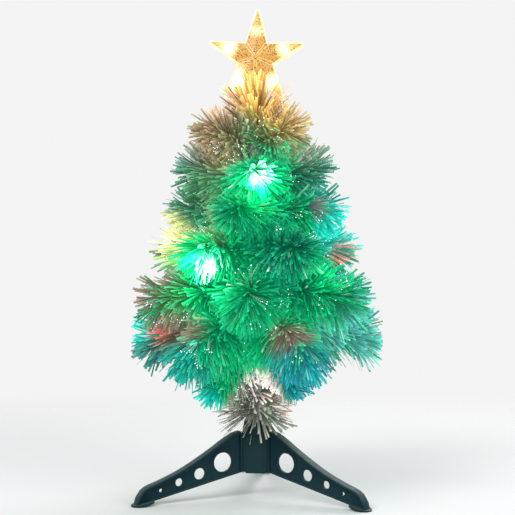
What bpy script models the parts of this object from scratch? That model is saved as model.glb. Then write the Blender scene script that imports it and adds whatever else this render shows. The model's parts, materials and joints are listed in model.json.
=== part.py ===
"""A tabletop fibre optic Christmas tree: a three-legged stand, a trunk, wire branches
with flat film needles, lamps at some branch ends and a lit star on top.

Metres, +Z up. The origin is on the floor, on the trunk's axis. The tree faces -Y.
"""

import math
import random

import bmesh
import bpy
import numpy as np
from mathutils import Matrix, Vector

# Overall sizes and fits
TREE_HEIGHT = 0.640  # floor to the tip of the star
GAP = 0.0003  # left between two pieces that touch
SLIDE_GAP = 0.0004  # each side of a piece that slides out of its seat
SAME_PLACE = 0.000001  # two corners closer than this are one
CUT_OVERRUN = 0.004  # how far a cutter runs past what it cuts
ROUND_SIDES = 32

# Stand hub
HUB_BOTTOM_Z = 0.0305
HUB_HEIGHT = 0.0495
HUB_PANEL_WIDTH = 0.030  # the three wide faces
HUB_SEAT_WIDTH = 0.012  # the three narrow faces that take the legs
HUB_EDGE_BEVEL = 0.0008
COLLAR_BASE_RADIUS = 0.0190
COLLAR_TOP_RADIUS = 0.0150
COLLAR_HEIGHT = 0.019
SOCKET_DEPTH = 0.0387  # how deep the trunk stands in the hub
CHAMBER_RADIUS = 0.0112
SHELF_THICKNESS = 0.003  # between the trunk's socket and the lamp chamber
SHELF_HOLE_RADIUS = 0.0055
SLOT_ROOF = 0.004  # material over each leg's slot
CAP_THICKNESS = 0.003
CAP_BOSS_HEIGHT = 0.004
CAP_BOSS_RADIUS = 0.0095
CAP_BOSS_WALL = 0.0015

# Power inlet in the hub's rear left panel
INLET_ANGLE = math.radians(150)
INLET_HEIGHT_IN_CHAMBER = 0.0125
INLET_BARREL_RADIUS = 0.0040
INLET_FLANGE_RADIUS = 0.0054
INLET_FLANGE_THICKNESS = 0.0012
INLET_LENGTH = 0.0095
INLET_BORE_RADIUS = 0.0029
INLET_BORE_DEPTH = 0.0075
INLET_PIN_RADIUS = 0.00105
INLET_PIN_SHORT = 0.0010  # how far the pin stays inside the mouth

# Light engine: the board and lamp under the fibre bundle
BOARD_THICKNESS = 0.0016
ENGINE_LAMP_RADIUS = 0.0045
ENGINE_LAMP_BODY = 0.0040
ENGINE_DOME_RADIUS = 0.0036

# Legs
LEG_REACH = 0.170
LEG_HEIGHT = 0.0845
LEG_WEB = 0.0030
LEG_FLANGE_WIDTH = 0.0130
LEG_FLANGE_THICKNESS = 0.0026
LEG_RIM_WIDTH = 0.0062
LEG_RIM_THICKNESS = 0.0018
LEG_ROOT_LIFT = 0.0014  # the web's lower corner sits this far above the hub's bottom
LEG_TOE_LIFT = 0.0048  # height of the web's lower edge at its outer end
LEG_ANGLES = {"leg_left": 210, "leg_right": 330, "leg_back": 90}
TOP_EDGE_SHARES = [
    (0.147, 1.000),
    (0.195, 0.975),
    (0.250, 0.918),
    (0.305, 0.850),
    (0.357, 0.780),
    (0.437, 0.682),
    (0.517, 0.590),
    (0.590, 0.510),
    (0.662, 0.442),
    (0.735, 0.382),
    (0.804, 0.330),
    (0.860, 0.295),
    (0.898, 0.262),
    (0.927, 0.218),
    (0.947, 0.160),
    (0.962, 0.110),
    (0.972, 0.030),
]
TOE_SHARE = 0.845  # where the web's lower edge ends, along the reach
LEG_HOLE_RADIUS = 0.0127  # the largest one, next to the hub
LEG_HOLE_LIFT = 0.0203  # its middle over the lower edge
LEG_HOLE_SHARES = [  # place along the reach, lift, radius
    (0.281, 1.00, 1.00),
    (0.470, 0.74, 0.59),
    (0.634, 0.62, 0.41),
    (0.778, 0.49, 0.20),
]
HOLE_SIDES = 24
RAIL_NECK_WIDTH = 0.0036
RAIL_NECK_LENGTH = 0.0026
RAIL_HEAD_WIDTH = 0.0072
RAIL_HEAD_DEPTH = 0.0024
PAD_LENGTH = 0.030
PAD_WIDTH = 0.023
PAD_THICKNESS = 0.0026
PAD_TILT = math.radians(9)
PAD_LAND = 0.0009  # how much the floor plane trims off the pad's low edge
PAD_SIDES = 28

# Trunk
POLE_DIAMETER = 0.016
POLE_WALL = 0.001
TOP_BARE = 0.0255  # bare tube over the film wrap
WRAP_FOOT = 0.005  # bare tube under the film wrap, down to the lower tuft's sleeve
WRAP_WALL = 0.0009
WRAP_BAND = 0.0009  # how far a tape band stands out of the wrap
WRAP_BAND_HEIGHT = 0.008
BUNDLE_RADIUS = 0.0042
BUNDLE_SHORT = 0.030  # the bundle ends this far under the tube's top
FERRULE_LENGTH = 0.022
PLUG_DEPTH = 0.018
PLUG_FLANGE_THICKNESS = 0.002
SPIGOT_RADIUS = 0.0040
SPIGOT_LENGTH = 0.037

# Star
STAR_RADIUS = 0.0654
STAR_NOTCH_RADIUS = 0.0254
STAR_STAND = 0.0492  # its lower notch stands this far over the trunk's top
STAR_TIP_ROUND = 0.0019
STAR_TIP_ANGLE = math.radians(36)
STAR_RIM_DEPTH = 0.0050  # from the parting plane to the rim's front edge
STAR_RISE = 0.0052  # the middle stands this far in front of the rim
STAR_WALL = 0.0014
STAR_SOCKET_RADIUS = 0.0060
STAR_NECK_RADIUS = 0.0030
STAR_NECK_SINK = 0.0068  # how far the neck runs into the star past its notch
STAR_HEAD_RADIUS = 0.0040
STAR_HEAD_THICKNESS = 0.0018
STAR_BOARD_RADIUS = 0.0125
STAR_BOSS_RADIUS = 0.0035
STAR_LAMP_PLACE = 0.036  # along each arm
LAMP_RADIUS = 0.0025
LAMP_BODY = 0.0052
LAMP_RIM_RADIUS = 0.0029
LAMP_RIM = 0.0010
LEAD_RADIUS = 0.0004
LEAD_SPACING = 0.0026

# Branch lamps
SLEEVE_RADIUS = 0.0032
SLEEVE_LENGTH = 0.0065

# Branches: core and needles
BRANCH_LENGTH = 0.119  # the longest core
NEEDLE_LENGTH = 0.044  # the longest needle near a branch's tip
ROOT_NEEDLE_SHARE = 1.35  # needles near the trunk are this much longer
CORE_RADIUS = 0.0016
CORE_SIDES = 6
ROOT_STUB = 0.0011  # the core runs this far behind its bending point
ROOT_STUB_RADIUS = 0.0011
STRAND_ROOT = 0.0009  # size of a needle's root along the core
STRAND_WIDTH = 0.0018
STRAND_THICKNESS = 0.0005
STRAND_SPACE = 0.0024  # least distance between two needles' middles
STRAND_ROOT_SHARE = 0.22  # the root of a needle, where it may touch its neighbours
OWN_SPACE_SHARE = 0.9  # needles of one branch may stand this much closer
BARE_CORE_SHARE = 0.20  # the core's first stretch has no needles
LAST_RING_SHARE = 0.965
LAMP_BACKSET = 0.012  # needles keep this far behind a lamp
SHORTENING_SHARES = (1.0, 0.88, 0.76, 0.64, 0.52, 0.42)
UNEVEN_SHARES = (0.92, 1.0)  # needles of one length differ this much
STRAND_TRIES = 10
FIRST_SWAY = 0.10  # in radians, and this much more at each try
SWAY_STEP = 0.05
TURN_SHARE = 1.6  # needles sway this much more round the core than along it
TESTED_SHARES = (0.1, 0.25, 0.4, 0.55, 0.7, 0.85, 1.0)  # places tested on a needle
ROOT_LEAN = math.radians(62)  # of a needle, from its core, near the trunk
TIP_LEAN = math.radians(38)
FOLD_MOST = math.radians(60)
FOLD_STEPS = 17  # poses at which needles are kept clear of each other
CORE_STEPS = 5

# Tiers of branches, from the bottom. Root heights are shares of the film wrap's height,
# cores and needles shares of the longest ones. Slopes are at the root and at the tip.
TIERS = {
    "tier_1": dict(height_share=0.072, core_share=0.47, needle_share=0.77,
                   slopes=(-4, -36), count=4, first=45, rings=3, fold_share=1.0,
                   lamps=()),
    "tier_2": dict(height_share=0.247, core_share=1.00, needle_share=0.98,
                   slopes=(6, -24), count=6, first=0, rings=5, fold_share=1.0,
                   lamps=(4,)),
    "tier_3": dict(height_share=0.379, core_share=0.95, needle_share=0.98,
                   slopes=(6, -15), count=6, first=30, rings=5, fold_share=1.0,
                   lamps=(5,)),
    "tier_4": dict(height_share=0.535, core_share=0.72, needle_share=0.93,
                   slopes=(10, -6), count=5, first=233, rings=4, fold_share=1.0,
                   lamps=(0,)),
    "tier_5": dict(height_share=0.680, core_share=0.60, needle_share=0.91,
                   slopes=(12, 1), count=4, first=350, rings=4, fold_share=0.9,
                   lamps=(0, 2)),
    "tier_6": dict(height_share=0.824, core_share=0.44, needle_share=0.89,
                   slopes=(12, 4), count=4, first=272, rings=4, fold_share=0.75,
                   lamps=(0,)),
    "tier_7": dict(height_share=0.950, core_share=0.34, needle_share=0.84,
                   slopes=(27, 24), count=3, first=320, rings=3, fold_share=0.4,
                   lamps=()),
}

# Tufts round the trunk
TUFTS = {
    "lower_tuft": dict(sleeve_share=1.00, needle_share=0.77, leans=(118, 84)),
    "top_tuft": dict(sleeve_share=0.67, needle_share=1.00, leans=(58, 24)),
}
TUFT_SLEEVE = 0.033  # length of the lower one's sleeve
LOWER_TUFT_FOOT = 0.005  # its sleeve starts this far over the stand's collar
TOP_TUFT_FOOT = 0.002  # its sleeve starts this far over the film wrap
TUFT_RINGS = 4
TUFT_SIDES = 16
TUFT_WALL = 0.0016

# Worked out from the above
POLE_RADIUS = POLE_DIAMETER / 2
WRAP_INNER = POLE_RADIUS + GAP
WRAP_RADIUS = WRAP_INNER + WRAP_WALL
BAND_RADIUS = WRAP_RADIUS + WRAP_BAND
HUB_TOP_Z = HUB_BOTTOM_Z + HUB_HEIGHT
COLLAR_TOP_Z = HUB_TOP_Z + COLLAR_HEIGHT
POLE_BOTTOM_Z = COLLAR_TOP_Z - SOCKET_DEPTH
SHELF_TOP_Z = POLE_BOTTOM_Z - GAP
CHAMBER_TOP_Z = SHELF_TOP_Z - SHELF_THICKNESS
CAP_TOP_Z = HUB_BOTTOM_Z + CAP_THICKNESS
BOARD_BOTTOM_Z = CAP_TOP_Z + CAP_BOSS_HEIGHT + GAP
HUB_SIDE = HUB_PANEL_WIDTH + 2 * HUB_SEAT_WIDTH  # side of the triangle, uncut
HUB_PANEL_RADIUS = HUB_SIDE / (2 * math.sqrt(3))
HUB_SEAT_RADIUS = HUB_SIDE / math.sqrt(3) - HUB_SEAT_WIDTH * math.sqrt(3) / 2
LEG_ROOT_RADIUS = HUB_SEAT_RADIUS + GAP
LEG_ROOT_Z = HUB_BOTTOM_Z + LEG_ROOT_LIFT
RAIL_TOP_Z = HUB_TOP_Z - SLOT_ROOF - GAP
STAR_CENTRE_Z = TREE_HEIGHT - STAR_RADIUS
POLE_TOP_Z = STAR_CENTRE_Z - STAR_NOTCH_RADIUS - STAR_STAND
BUNDLE_TOP_Z = POLE_TOP_Z - BUNDLE_SHORT
WRAP_TOP_Z = POLE_TOP_Z - TOP_BARE
TUFT_FOOT_Z = {
    "lower_tuft": COLLAR_TOP_Z + LOWER_TUFT_FOOT,
    "top_tuft": WRAP_TOP_Z + TOP_TUFT_FOOT,
}
WRAP_BOTTOM_Z = TUFT_FOOT_Z["lower_tuft"] + TUFT_SLEEVE + WRAP_FOOT
WRAP_HEIGHT = WRAP_TOP_Z - WRAP_BOTTOM_Z
STAR_POINT_RADIUS = STAR_RADIUS + STAR_TIP_ROUND * (1 / math.sin(STAR_TIP_ANGLE / 2) - 1)
STAR_EDGE_RADIUS = STAR_POINT_RADIUS * math.sin(STAR_TIP_ANGLE / 2)
PLUG_FLANGE_TOP_Z = POLE_TOP_Z + GAP + PLUG_FLANGE_THICKNESS
PIVOT_RADIUS = BAND_RADIUS + GAP + math.hypot(ROOT_STUB, ROOT_STUB_RADIUS)


def clear_scene():
    for obj in list(bpy.data.objects):
        bpy.data.objects.remove(obj, do_unlink=True)


def material(name, colour, roughness, metallic=0.0, alpha=1.0):
    made = bpy.data.materials.new(name)
    made.use_nodes = True
    shader = made.node_tree.nodes["Principled BSDF"]
    shader.inputs["Base Color"].default_value = (*colour, 1.0)
    shader.inputs["Roughness"].default_value = roughness
    shader.inputs["Metallic"].default_value = metallic
    shader.inputs["Alpha"].default_value = alpha
    return made


def finish(bm, name, look=None, turn_faces=True, smooth=True):
    """Makes the object from the bmesh, with its faces pointing out."""
    if turn_faces:
        bmesh.ops.remove_doubles(bm, verts=bm.verts, dist=SAME_PLACE)
        bmesh.ops.recalc_face_normals(bm, faces=bm.faces)
    mesh = bpy.data.meshes.new(name)
    bm.to_mesh(mesh)
    bm.free()
    if smooth:
        mesh.shade_smooth()
        mesh.set_sharp_from_angle(angle=math.radians(35))
    obj = bpy.data.objects.new(name, mesh)
    bpy.context.scene.collection.objects.link(obj)
    if look:
        mesh.materials.append(look)
    return obj


def boolean(target, tool, operation):
    """Joins the tool to the target or cuts it out of it, and removes the tool."""
    modifier = target.modifiers.new(operation.lower(), "BOOLEAN")
    modifier.operation = operation
    modifier.object = tool
    bpy.context.view_layer.update()
    graph = bpy.context.evaluated_depsgraph_get()
    mesh = bpy.data.meshes.new_from_object(target.evaluated_get(graph))
    target.modifiers.clear()
    old = target.data
    target.data = mesh
    bpy.data.meshes.remove(old)
    bpy.data.objects.remove(tool, do_unlink=True)
    return target


def lathe(name, profile, look=None, sides=ROUND_SIDES):
    """Turns (radius, height) points round Z. A profile off the axis closes on itself."""
    bm = bmesh.new()
    verts = [bm.verts.new((radius, 0, z)) for radius, z in profile]
    for a, b in zip(verts, verts[1:]):
        bm.edges.new((a, b))
    if profile[0][0] > 0:
        bm.edges.new((verts[-1], verts[0]))
    bmesh.ops.spin(
        bm, geom=bm.verts[:] + bm.edges[:], cent=(0, 0, 0), axis=(0, 0, 1),
        angle=2 * math.pi, steps=sides,
    )
    return finish(bm, name, look)


def plate(name, outline, low_y, high_y, look=None):
    """Extrudes an outline of (x, z) points from low_y to high_y."""
    bm = bmesh.new()
    face = bm.faces.new([bm.verts.new((x, low_y, z)) for x, z in outline])
    pushed = bmesh.ops.extrude_face_region(bm, geom=[face])["geom"]
    moved = [v for v in pushed if isinstance(v, bmesh.types.BMVert)]
    bmesh.ops.translate(bm, verts=moved, vec=(0, high_y - low_y, 0))
    return finish(bm, name, look)


def prism(name, outline, low_z, high_z, look=None):
    """Extrudes an outline of (x, y) points from low_z to high_z."""
    bm = bmesh.new()
    face = bm.faces.new([bm.verts.new((x, y, low_z)) for x, y in outline])
    pushed = bmesh.ops.extrude_face_region(bm, geom=[face])["geom"]
    moved = [v for v in pushed if isinstance(v, bmesh.types.BMVert)]
    bmesh.ops.translate(bm, verts=moved, vec=(0, 0, high_z - low_z))
    return finish(bm, name, look)


def rectangle(low_x, high_x, low_y, high_y):
    return [(low_x, low_y), (high_x, low_y), (high_x, high_y), (low_x, high_y)]


def circle(radius, sides, x=0.0, y=0.0):
    turn = 2 * math.pi / sides
    return [
        (x + radius * math.cos(n * turn), y + radius * math.sin(n * turn))
        for n in range(sides)
    ]


def dome(radius, base_z, steps=5):
    """Profile points of a half ball, from its equator up to the axis."""
    return [
        (radius * math.cos(n / steps * math.pi / 2),
         base_z + radius * math.sin(n / steps * math.pi / 2))
        for n in range(steps)
    ] + [(0, base_z + radius)]


def tapered_plate(bm, low, high, low_z, high_z):
    """A closed slab between two outlines with as many points each."""
    under = [bm.verts.new((x, y, low_z)) for x, y in low]
    over = [bm.verts.new((x, y, high_z)) for x, y in high]
    bm.faces.new(reversed(under))
    bm.faces.new(over)
    count = len(under)
    for n in range(count):
        m = (n + 1) % count
        bm.faces.new((under[n], under[m], over[m], over[n]))


def hub_outline(inset=0.0):
    """The hub's six-sided section: wide panels, and narrow seats that face the legs."""
    radius = HUB_PANEL_RADIUS - inset
    half = HUB_PANEL_WIDTH / 2
    points = []
    for panel in range(3):
        angle = math.radians(30 + 120 * panel)
        out = Vector((math.cos(angle), math.sin(angle)))
        side = Vector((-out.y, out.x))
        points += [tuple(out * radius - side * half), tuple(out * radius + side * half)]
    return points


def make_hub(look):
    bm = bmesh.new()
    bevelled = hub_outline(HUB_EDGE_BEVEL)
    full = hub_outline()
    tapered_plate(bm, bevelled, full, HUB_BOTTOM_Z, HUB_BOTTOM_Z + HUB_EDGE_BEVEL)
    lid = max(bm.faces, key=lambda face: face.calc_center_median().z)
    pushed = bmesh.ops.extrude_discrete_faces(bm, faces=[lid])["faces"][0]
    lift = (0, 0, HUB_HEIGHT - HUB_EDGE_BEVEL)
    bmesh.ops.translate(bm, verts=pushed.verts, vec=lift)
    hub = finish(bm, "stand_hub", look)
    sunk = HUB_TOP_Z - CUT_OVERRUN
    collar = lathe("collar", [
        (0, sunk),
        (HUB_PANEL_RADIUS - GAP, sunk),
        (HUB_PANEL_RADIUS - GAP, HUB_TOP_Z),
        (COLLAR_BASE_RADIUS, HUB_TOP_Z),
        (COLLAR_TOP_RADIUS, COLLAR_TOP_Z - HUB_EDGE_BEVEL),
        (COLLAR_TOP_RADIUS - HUB_EDGE_BEVEL, COLLAR_TOP_Z),
        (0, COLLAR_TOP_Z),
    ])
    boolean(hub, collar, "UNION")
    bore = lathe("bore", [
        (0, HUB_BOTTOM_Z - CUT_OVERRUN),
        (CHAMBER_RADIUS, HUB_BOTTOM_Z - CUT_OVERRUN),
        (CHAMBER_RADIUS, CHAMBER_TOP_Z),
        (SHELF_HOLE_RADIUS, CHAMBER_TOP_Z),
        (SHELF_HOLE_RADIUS, SHELF_TOP_Z),
        (POLE_RADIUS + SLIDE_GAP, SHELF_TOP_Z),
        (POLE_RADIUS + SLIDE_GAP, COLLAR_TOP_Z + CUT_OVERRUN),
        (0, COLLAR_TOP_Z + CUT_OVERRUN),
    ])
    boolean(hub, bore, "DIFFERENCE")
    for angle in LEG_ANGLES.values():
        slot = prism(
            "slot", rail_outline(gap=SLIDE_GAP, mouth=CUT_OVERRUN),
            HUB_BOTTOM_Z - CUT_OVERRUN, HUB_TOP_Z - SLOT_ROOF,
        )
        slot.rotation_euler.z = math.radians(angle)
        boolean(hub, slot, "DIFFERENCE")
    hole = lathe("inlet_hole", [
        (0, CHAMBER_RADIUS / 2),
        (INLET_BARREL_RADIUS + GAP, CHAMBER_RADIUS / 2),
        (INLET_BARREL_RADIUS + GAP, HUB_PANEL_RADIUS + CUT_OVERRUN),
        (0, HUB_PANEL_RADIUS + CUT_OVERRUN),
    ])
    place_inlet(hole)
    boolean(hub, hole, "DIFFERENCE")
    return hub


def rail_outline(gap=0, mouth=LEG_WEB / 2):
    """The T of a leg's rail in plan. The hub's slot is the same T, wider by a gap."""
    neck = RAIL_NECK_WIDTH / 2 + gap
    head = RAIL_HEAD_WIDTH / 2 + gap
    outer = LEG_ROOT_RADIUS + mouth
    shoulder = HUB_SEAT_RADIUS - RAIL_NECK_LENGTH + gap
    inner = HUB_SEAT_RADIUS - RAIL_NECK_LENGTH - RAIL_HEAD_DEPTH - gap
    return [
        (outer, -neck), (outer, neck), (shoulder, neck), (shoulder, head),
        (inner, head), (inner, -head), (shoulder, -head), (shoulder, -neck),
    ]


def place_inlet(obj):
    """Lays a piece turned round Z along the inlet's axis, pointing out of the hub."""
    obj.rotation_euler = (0, math.pi / 2, INLET_ANGLE)
    obj.location.z = CAP_TOP_Z + INLET_HEIGHT_IN_CHAMBER


def make_inlet(look):
    mouth = HUB_PANEL_RADIUS + GAP + INLET_FLANGE_THICKNESS
    floor = mouth - INLET_BORE_DEPTH
    inlet = lathe("power_inlet", [
        (0, mouth - INLET_LENGTH),
        (INLET_BARREL_RADIUS, mouth - INLET_LENGTH),
        (INLET_BARREL_RADIUS, HUB_PANEL_RADIUS + GAP),
        (INLET_FLANGE_RADIUS, HUB_PANEL_RADIUS + GAP),
        (INLET_FLANGE_RADIUS, mouth),
        (INLET_BORE_RADIUS, mouth),
        (INLET_BORE_RADIUS, floor),
        (INLET_PIN_RADIUS, floor),
        (INLET_PIN_RADIUS, mouth - INLET_PIN_SHORT),
        (0, mouth - INLET_PIN_SHORT),
    ], look, sides=20)
    place_inlet(inlet)
    return inlet


def make_cap(look):
    radius = CHAMBER_RADIUS - GAP
    boss = CAP_BOSS_RADIUS
    return lathe("hub_bottom_cap", [
        (0, HUB_BOTTOM_Z),
        (radius, HUB_BOTTOM_Z),
        (radius, CAP_TOP_Z),
        (boss, CAP_TOP_Z),
        (boss, CAP_TOP_Z + CAP_BOSS_HEIGHT),
        (boss - CAP_BOSS_WALL, CAP_TOP_Z + CAP_BOSS_HEIGHT),
        (boss - CAP_BOSS_WALL, CAP_TOP_Z),
        (0, CAP_TOP_Z),
    ], look, sides=24)


def make_light_engine(look):
    top = BOARD_BOTTOM_Z + BOARD_THICKNESS
    shoulder = top + ENGINE_LAMP_BODY
    return lathe("light_engine", [
        (0, BOARD_BOTTOM_Z),
        (CHAMBER_RADIUS - GAP, BOARD_BOTTOM_Z),
        (CHAMBER_RADIUS - GAP, top),
        (ENGINE_LAMP_RADIUS, top),
        (ENGINE_LAMP_RADIUS, shoulder),
        *dome(ENGINE_DOME_RADIUS, shoulder, 4),
    ], look, sides=24)


def lower_edge_z(x):
    """Height of the leg's straight lower edge at distance x from the axis."""
    toe = LEG_REACH * TOE_SHARE
    share = (x - LEG_ROOT_RADIUS) / (toe - LEG_ROOT_RADIUS)
    return LEG_ROOT_Z + (LEG_TOE_LIFT - LEG_ROOT_Z) * share


def top_edge():
    """The leg's top edge, from the hub out to the toe."""
    points = [(LEG_REACH * x, LEG_HEIGHT * z) for x, z in TOP_EDGE_SHARES]
    first = (LEG_ROOT_RADIUS + LEG_WEB / 2, points[0][1])
    return [first] + [p for p in points if p[0] > LEG_ROOT_RADIUS + LEG_WEB]


def pad_middle_z(x):
    """Height of the foot plate's middle plane at distance x from the axis."""
    return (LEG_REACH - x) * math.tan(PAD_TILT) - PAD_LAND + PAD_THICKNESS / 2


def offset_edge(points, distance):
    """The same line moved to its right by a distance, along its normals."""
    moved = []
    for n, (x, z) in enumerate(points):
        ahead = points[min(n + 1, len(points) - 1)]
        behind = points[max(n - 1, 0)]
        along = Vector((ahead[0] - behind[0], ahead[1] - behind[1])).normalized()
        moved.append((x + along.y * distance, z - along.x * distance))
    return moved


def make_leg(name, angle, look):
    """Built along +X and turned about the trunk's axis, so it slides down its slot."""
    side = HUB_SEAT_WIDTH / 2 - HUB_EDGE_BEVEL
    leg = prism(
        name, rectangle(LEG_ROOT_RADIUS, LEG_ROOT_RADIUS + LEG_WEB, -side, side),
        LEG_ROOT_Z, LEG_HEIGHT - LEG_FLANGE_THICKNESS / 2, look,
    )
    top = top_edge()
    toe = LEG_REACH * TOE_SHARE
    end = toe + LEG_RIM_WIDTH / 2
    root = LEG_ROOT_RADIUS + LEG_WEB / 2
    half = LEG_WEB / 2
    inside_rim = LEG_RIM_THICKNESS / 2
    under = offset_edge(top, LEG_FLANGE_THICKNESS)
    inside_flange = offset_edge(top, LEG_FLANGE_THICKNESS / 2)[:-1]
    tip = inside_flange[-1][0]
    low = [
        (tip, pad_middle_z(tip)),
        (toe, lower_edge_z(toe) + inside_rim),
        (root, lower_edge_z(root) + inside_rim),
    ]
    rim = [
        (root, lower_edge_z(root)),
        (root, lower_edge_z(root) + LEG_RIM_THICKNESS),
        (end, lower_edge_z(end) + LEG_RIM_THICKNESS),
        (end, lower_edge_z(end)),
    ]
    boolean(leg, plate("web", inside_flange + low, -half, half), "UNION")
    for outline, width in (
        (top + under[::-1], LEG_FLANGE_WIDTH),
        (rim, LEG_RIM_WIDTH),
    ):
        boolean(leg, plate("edge", outline, -width / 2, width / 2), "UNION")
    boolean(leg, make_pad(), "UNION")
    rail = prism("rail", rail_outline(), LEG_ROOT_Z + LEG_RIM_THICKNESS, RAIL_TOP_Z)
    boolean(leg, rail, "UNION")
    for along_share, lift_share, radius_share in LEG_HOLE_SHARES:
        x = LEG_REACH * along_share
        z = lower_edge_z(x) + LEG_HOLE_LIFT * lift_share
        hole = plate("hole", circle(LEG_HOLE_RADIUS * radius_share, HOLE_SIDES, x, z),
                     -LEG_WEB - CUT_OVERRUN, LEG_WEB + CUT_OVERRUN)
        boolean(leg, hole, "DIFFERENCE")
    floor = prism("floor", rectangle(0, LEG_REACH * 2, -PAD_WIDTH, PAD_WIDTH),
                  -PAD_LENGTH, 0)
    boolean(leg, floor, "DIFFERENCE")
    leg.rotation_euler.z = math.radians(angle)
    return leg


def make_pad():
    """The oval foot plate. It slopes with the leg, and the floor trims its low edge."""
    outline = [
        (x * PAD_LENGTH / 2, y * PAD_WIDTH / 2) for x, y in circle(1, PAD_SIDES)
    ]
    pad = prism("pad", outline, 0, PAD_THICKNESS)
    pad.rotation_euler.y = PAD_TILT
    half = PAD_LENGTH / 2
    pad.location.x = LEG_REACH - half * math.cos(PAD_TILT)
    pad.location.z = half * math.sin(PAD_TILT) - PAD_LAND
    return pad


def make_pole(look):
    inner = POLE_RADIUS - POLE_WALL
    return lathe("trunk_pole", [
        (inner, POLE_BOTTOM_Z), (POLE_RADIUS, POLE_BOTTOM_Z),
        (POLE_RADIUS, POLE_TOP_Z), (inner, POLE_TOP_Z),
    ], look)


def make_wrap(look):
    """The film wound round the pole, with a tape band where each tier is tied on."""
    profile = [(WRAP_INNER, WRAP_BOTTOM_Z), (WRAP_RADIUS, WRAP_BOTTOM_Z)]
    half = WRAP_BAND_HEIGHT / 2
    for tier in TIERS.values():
        z = WRAP_BOTTOM_Z + WRAP_HEIGHT * tier["height_share"]
        profile += [
            (WRAP_RADIUS, z - half), (BAND_RADIUS, z - half + WRAP_BAND),
            (BAND_RADIUS, z + half - WRAP_BAND), (WRAP_RADIUS, z + half),
        ]
    profile += [(WRAP_RADIUS, WRAP_TOP_Z), (WRAP_INNER, WRAP_TOP_Z)]
    return lathe("trunk_wrap", profile, look, sides=20)


def make_bundle(look):
    """The fibre bundle and the ferrule that gathers it in the pole's foot."""
    ferrule = POLE_RADIUS - POLE_WALL - GAP
    return lathe("fibre_bundle", [
        (0, POLE_BOTTOM_Z),
        (ferrule, POLE_BOTTOM_Z),
        (ferrule, POLE_BOTTOM_Z + FERRULE_LENGTH),
        (BUNDLE_RADIUS, POLE_BOTTOM_Z + FERRULE_LENGTH),
        (BUNDLE_RADIUS, BUNDLE_TOP_Z),
        (0, BUNDLE_TOP_Z),
    ], look, sides=20)


def make_top_plug(look):
    return lathe("trunk_top_plug", [
        (0, POLE_TOP_Z - PLUG_DEPTH),
        (POLE_RADIUS - POLE_WALL - GAP, POLE_TOP_Z - PLUG_DEPTH),
        (POLE_RADIUS - POLE_WALL - GAP, POLE_TOP_Z + GAP),
        (POLE_RADIUS, POLE_TOP_Z + GAP),
        (POLE_RADIUS, PLUG_FLANGE_TOP_Z),
        (SPIGOT_RADIUS, PLUG_FLANGE_TOP_Z),
        (SPIGOT_RADIUS, PLUG_FLANGE_TOP_Z + SPIGOT_LENGTH),
        (0, PLUG_FLANGE_TOP_Z + SPIGOT_LENGTH),
    ], look, sides=24)


def star_outline():
    """A five-pointed star with rounded tips, as (x, z) about its own middle."""
    points = []
    spread = math.pi / 2 - STAR_TIP_ANGLE / 2
    for n in range(5):
        angle = math.pi / 2 + n * 2 * math.pi / 5
        middle = Vector((math.cos(angle), math.sin(angle))) * (STAR_RADIUS - STAR_TIP_ROUND)
        for step in (-1, 0, 1):
            a = angle + step * spread
            points.append((
                middle.x + STAR_TIP_ROUND * math.cos(a),
                middle.y + STAR_TIP_ROUND * math.sin(a),
            ))
        notch = angle + math.pi / 5
        points.append(
            (STAR_NOTCH_RADIUS * math.cos(notch), STAR_NOTCH_RADIUS * math.sin(notch))
        )
    return points


def star_shell(name, side, look):
    """One half of the star: a rim and a face that rises to the middle, hollow behind.
    side is -1 for the front half and 1 for the back one."""
    bm = bmesh.new()
    outer = star_outline()
    shrink = 1 - STAR_WALL / STAR_EDGE_RADIUS
    inner = [(x * shrink, z * shrink) for x, z in outer]

    def ring(points, y):
        return [bm.verts.new((x, side * y, z)) for x, z in points]

    def bridge(a, b):
        for n in range(len(a)):
            m = (n + 1) % len(a)
            bm.faces.new((a[n], a[m], b[m], b[n]))

    def fan(points, y):
        apex = bm.verts.new((0, side * y, 0))
        for n in range(len(points)):
            bm.faces.new((points[n], points[(n + 1) % len(points)], apex))

    parting = GAP / 2
    outer_low = ring(outer, parting)
    outer_high = ring(outer, STAR_RIM_DEPTH)
    inner_low = ring(inner, parting)
    inner_high = ring(inner, STAR_RIM_DEPTH - STAR_WALL)
    bridge(outer_low, outer_high)
    fan(outer_high, STAR_RIM_DEPTH + STAR_RISE)
    bridge(inner_low, inner_high)
    fan(inner_high, STAR_RIM_DEPTH + STAR_RISE - STAR_WALL)
    bridge(outer_low, inner_low)
    shell = finish(bm, name, look)
    if side > 0:
        boss = lathe("boss", [
            (0, BOARD_THICKNESS / 2 + GAP),
            (STAR_BOSS_RADIUS, BOARD_THICKNESS / 2 + GAP),
            (STAR_BOSS_RADIUS, STAR_RIM_DEPTH + STAR_RISE - STAR_WALL),
            (0, STAR_RIM_DEPTH + STAR_RISE - STAR_WALL / 2),
        ], sides=12)
        boss.rotation_euler.x = -math.pi / 2
        boolean(shell, boss, "UNION")
    neck = lathe("neck_hole", [
        (0, -STAR_NOTCH_RADIUS - CUT_OVERRUN),
        (STAR_NECK_RADIUS + GAP, -STAR_NOTCH_RADIUS - CUT_OVERRUN),
        (STAR_NECK_RADIUS + GAP, -STAR_NOTCH_RADIUS + CUT_OVERRUN),
        (0, -STAR_NOTCH_RADIUS + CUT_OVERRUN),
    ], sides=16)
    boolean(shell, neck, "DIFFERENCE")
    shell.location.z = STAR_CENTRE_Z
    return shell


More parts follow.
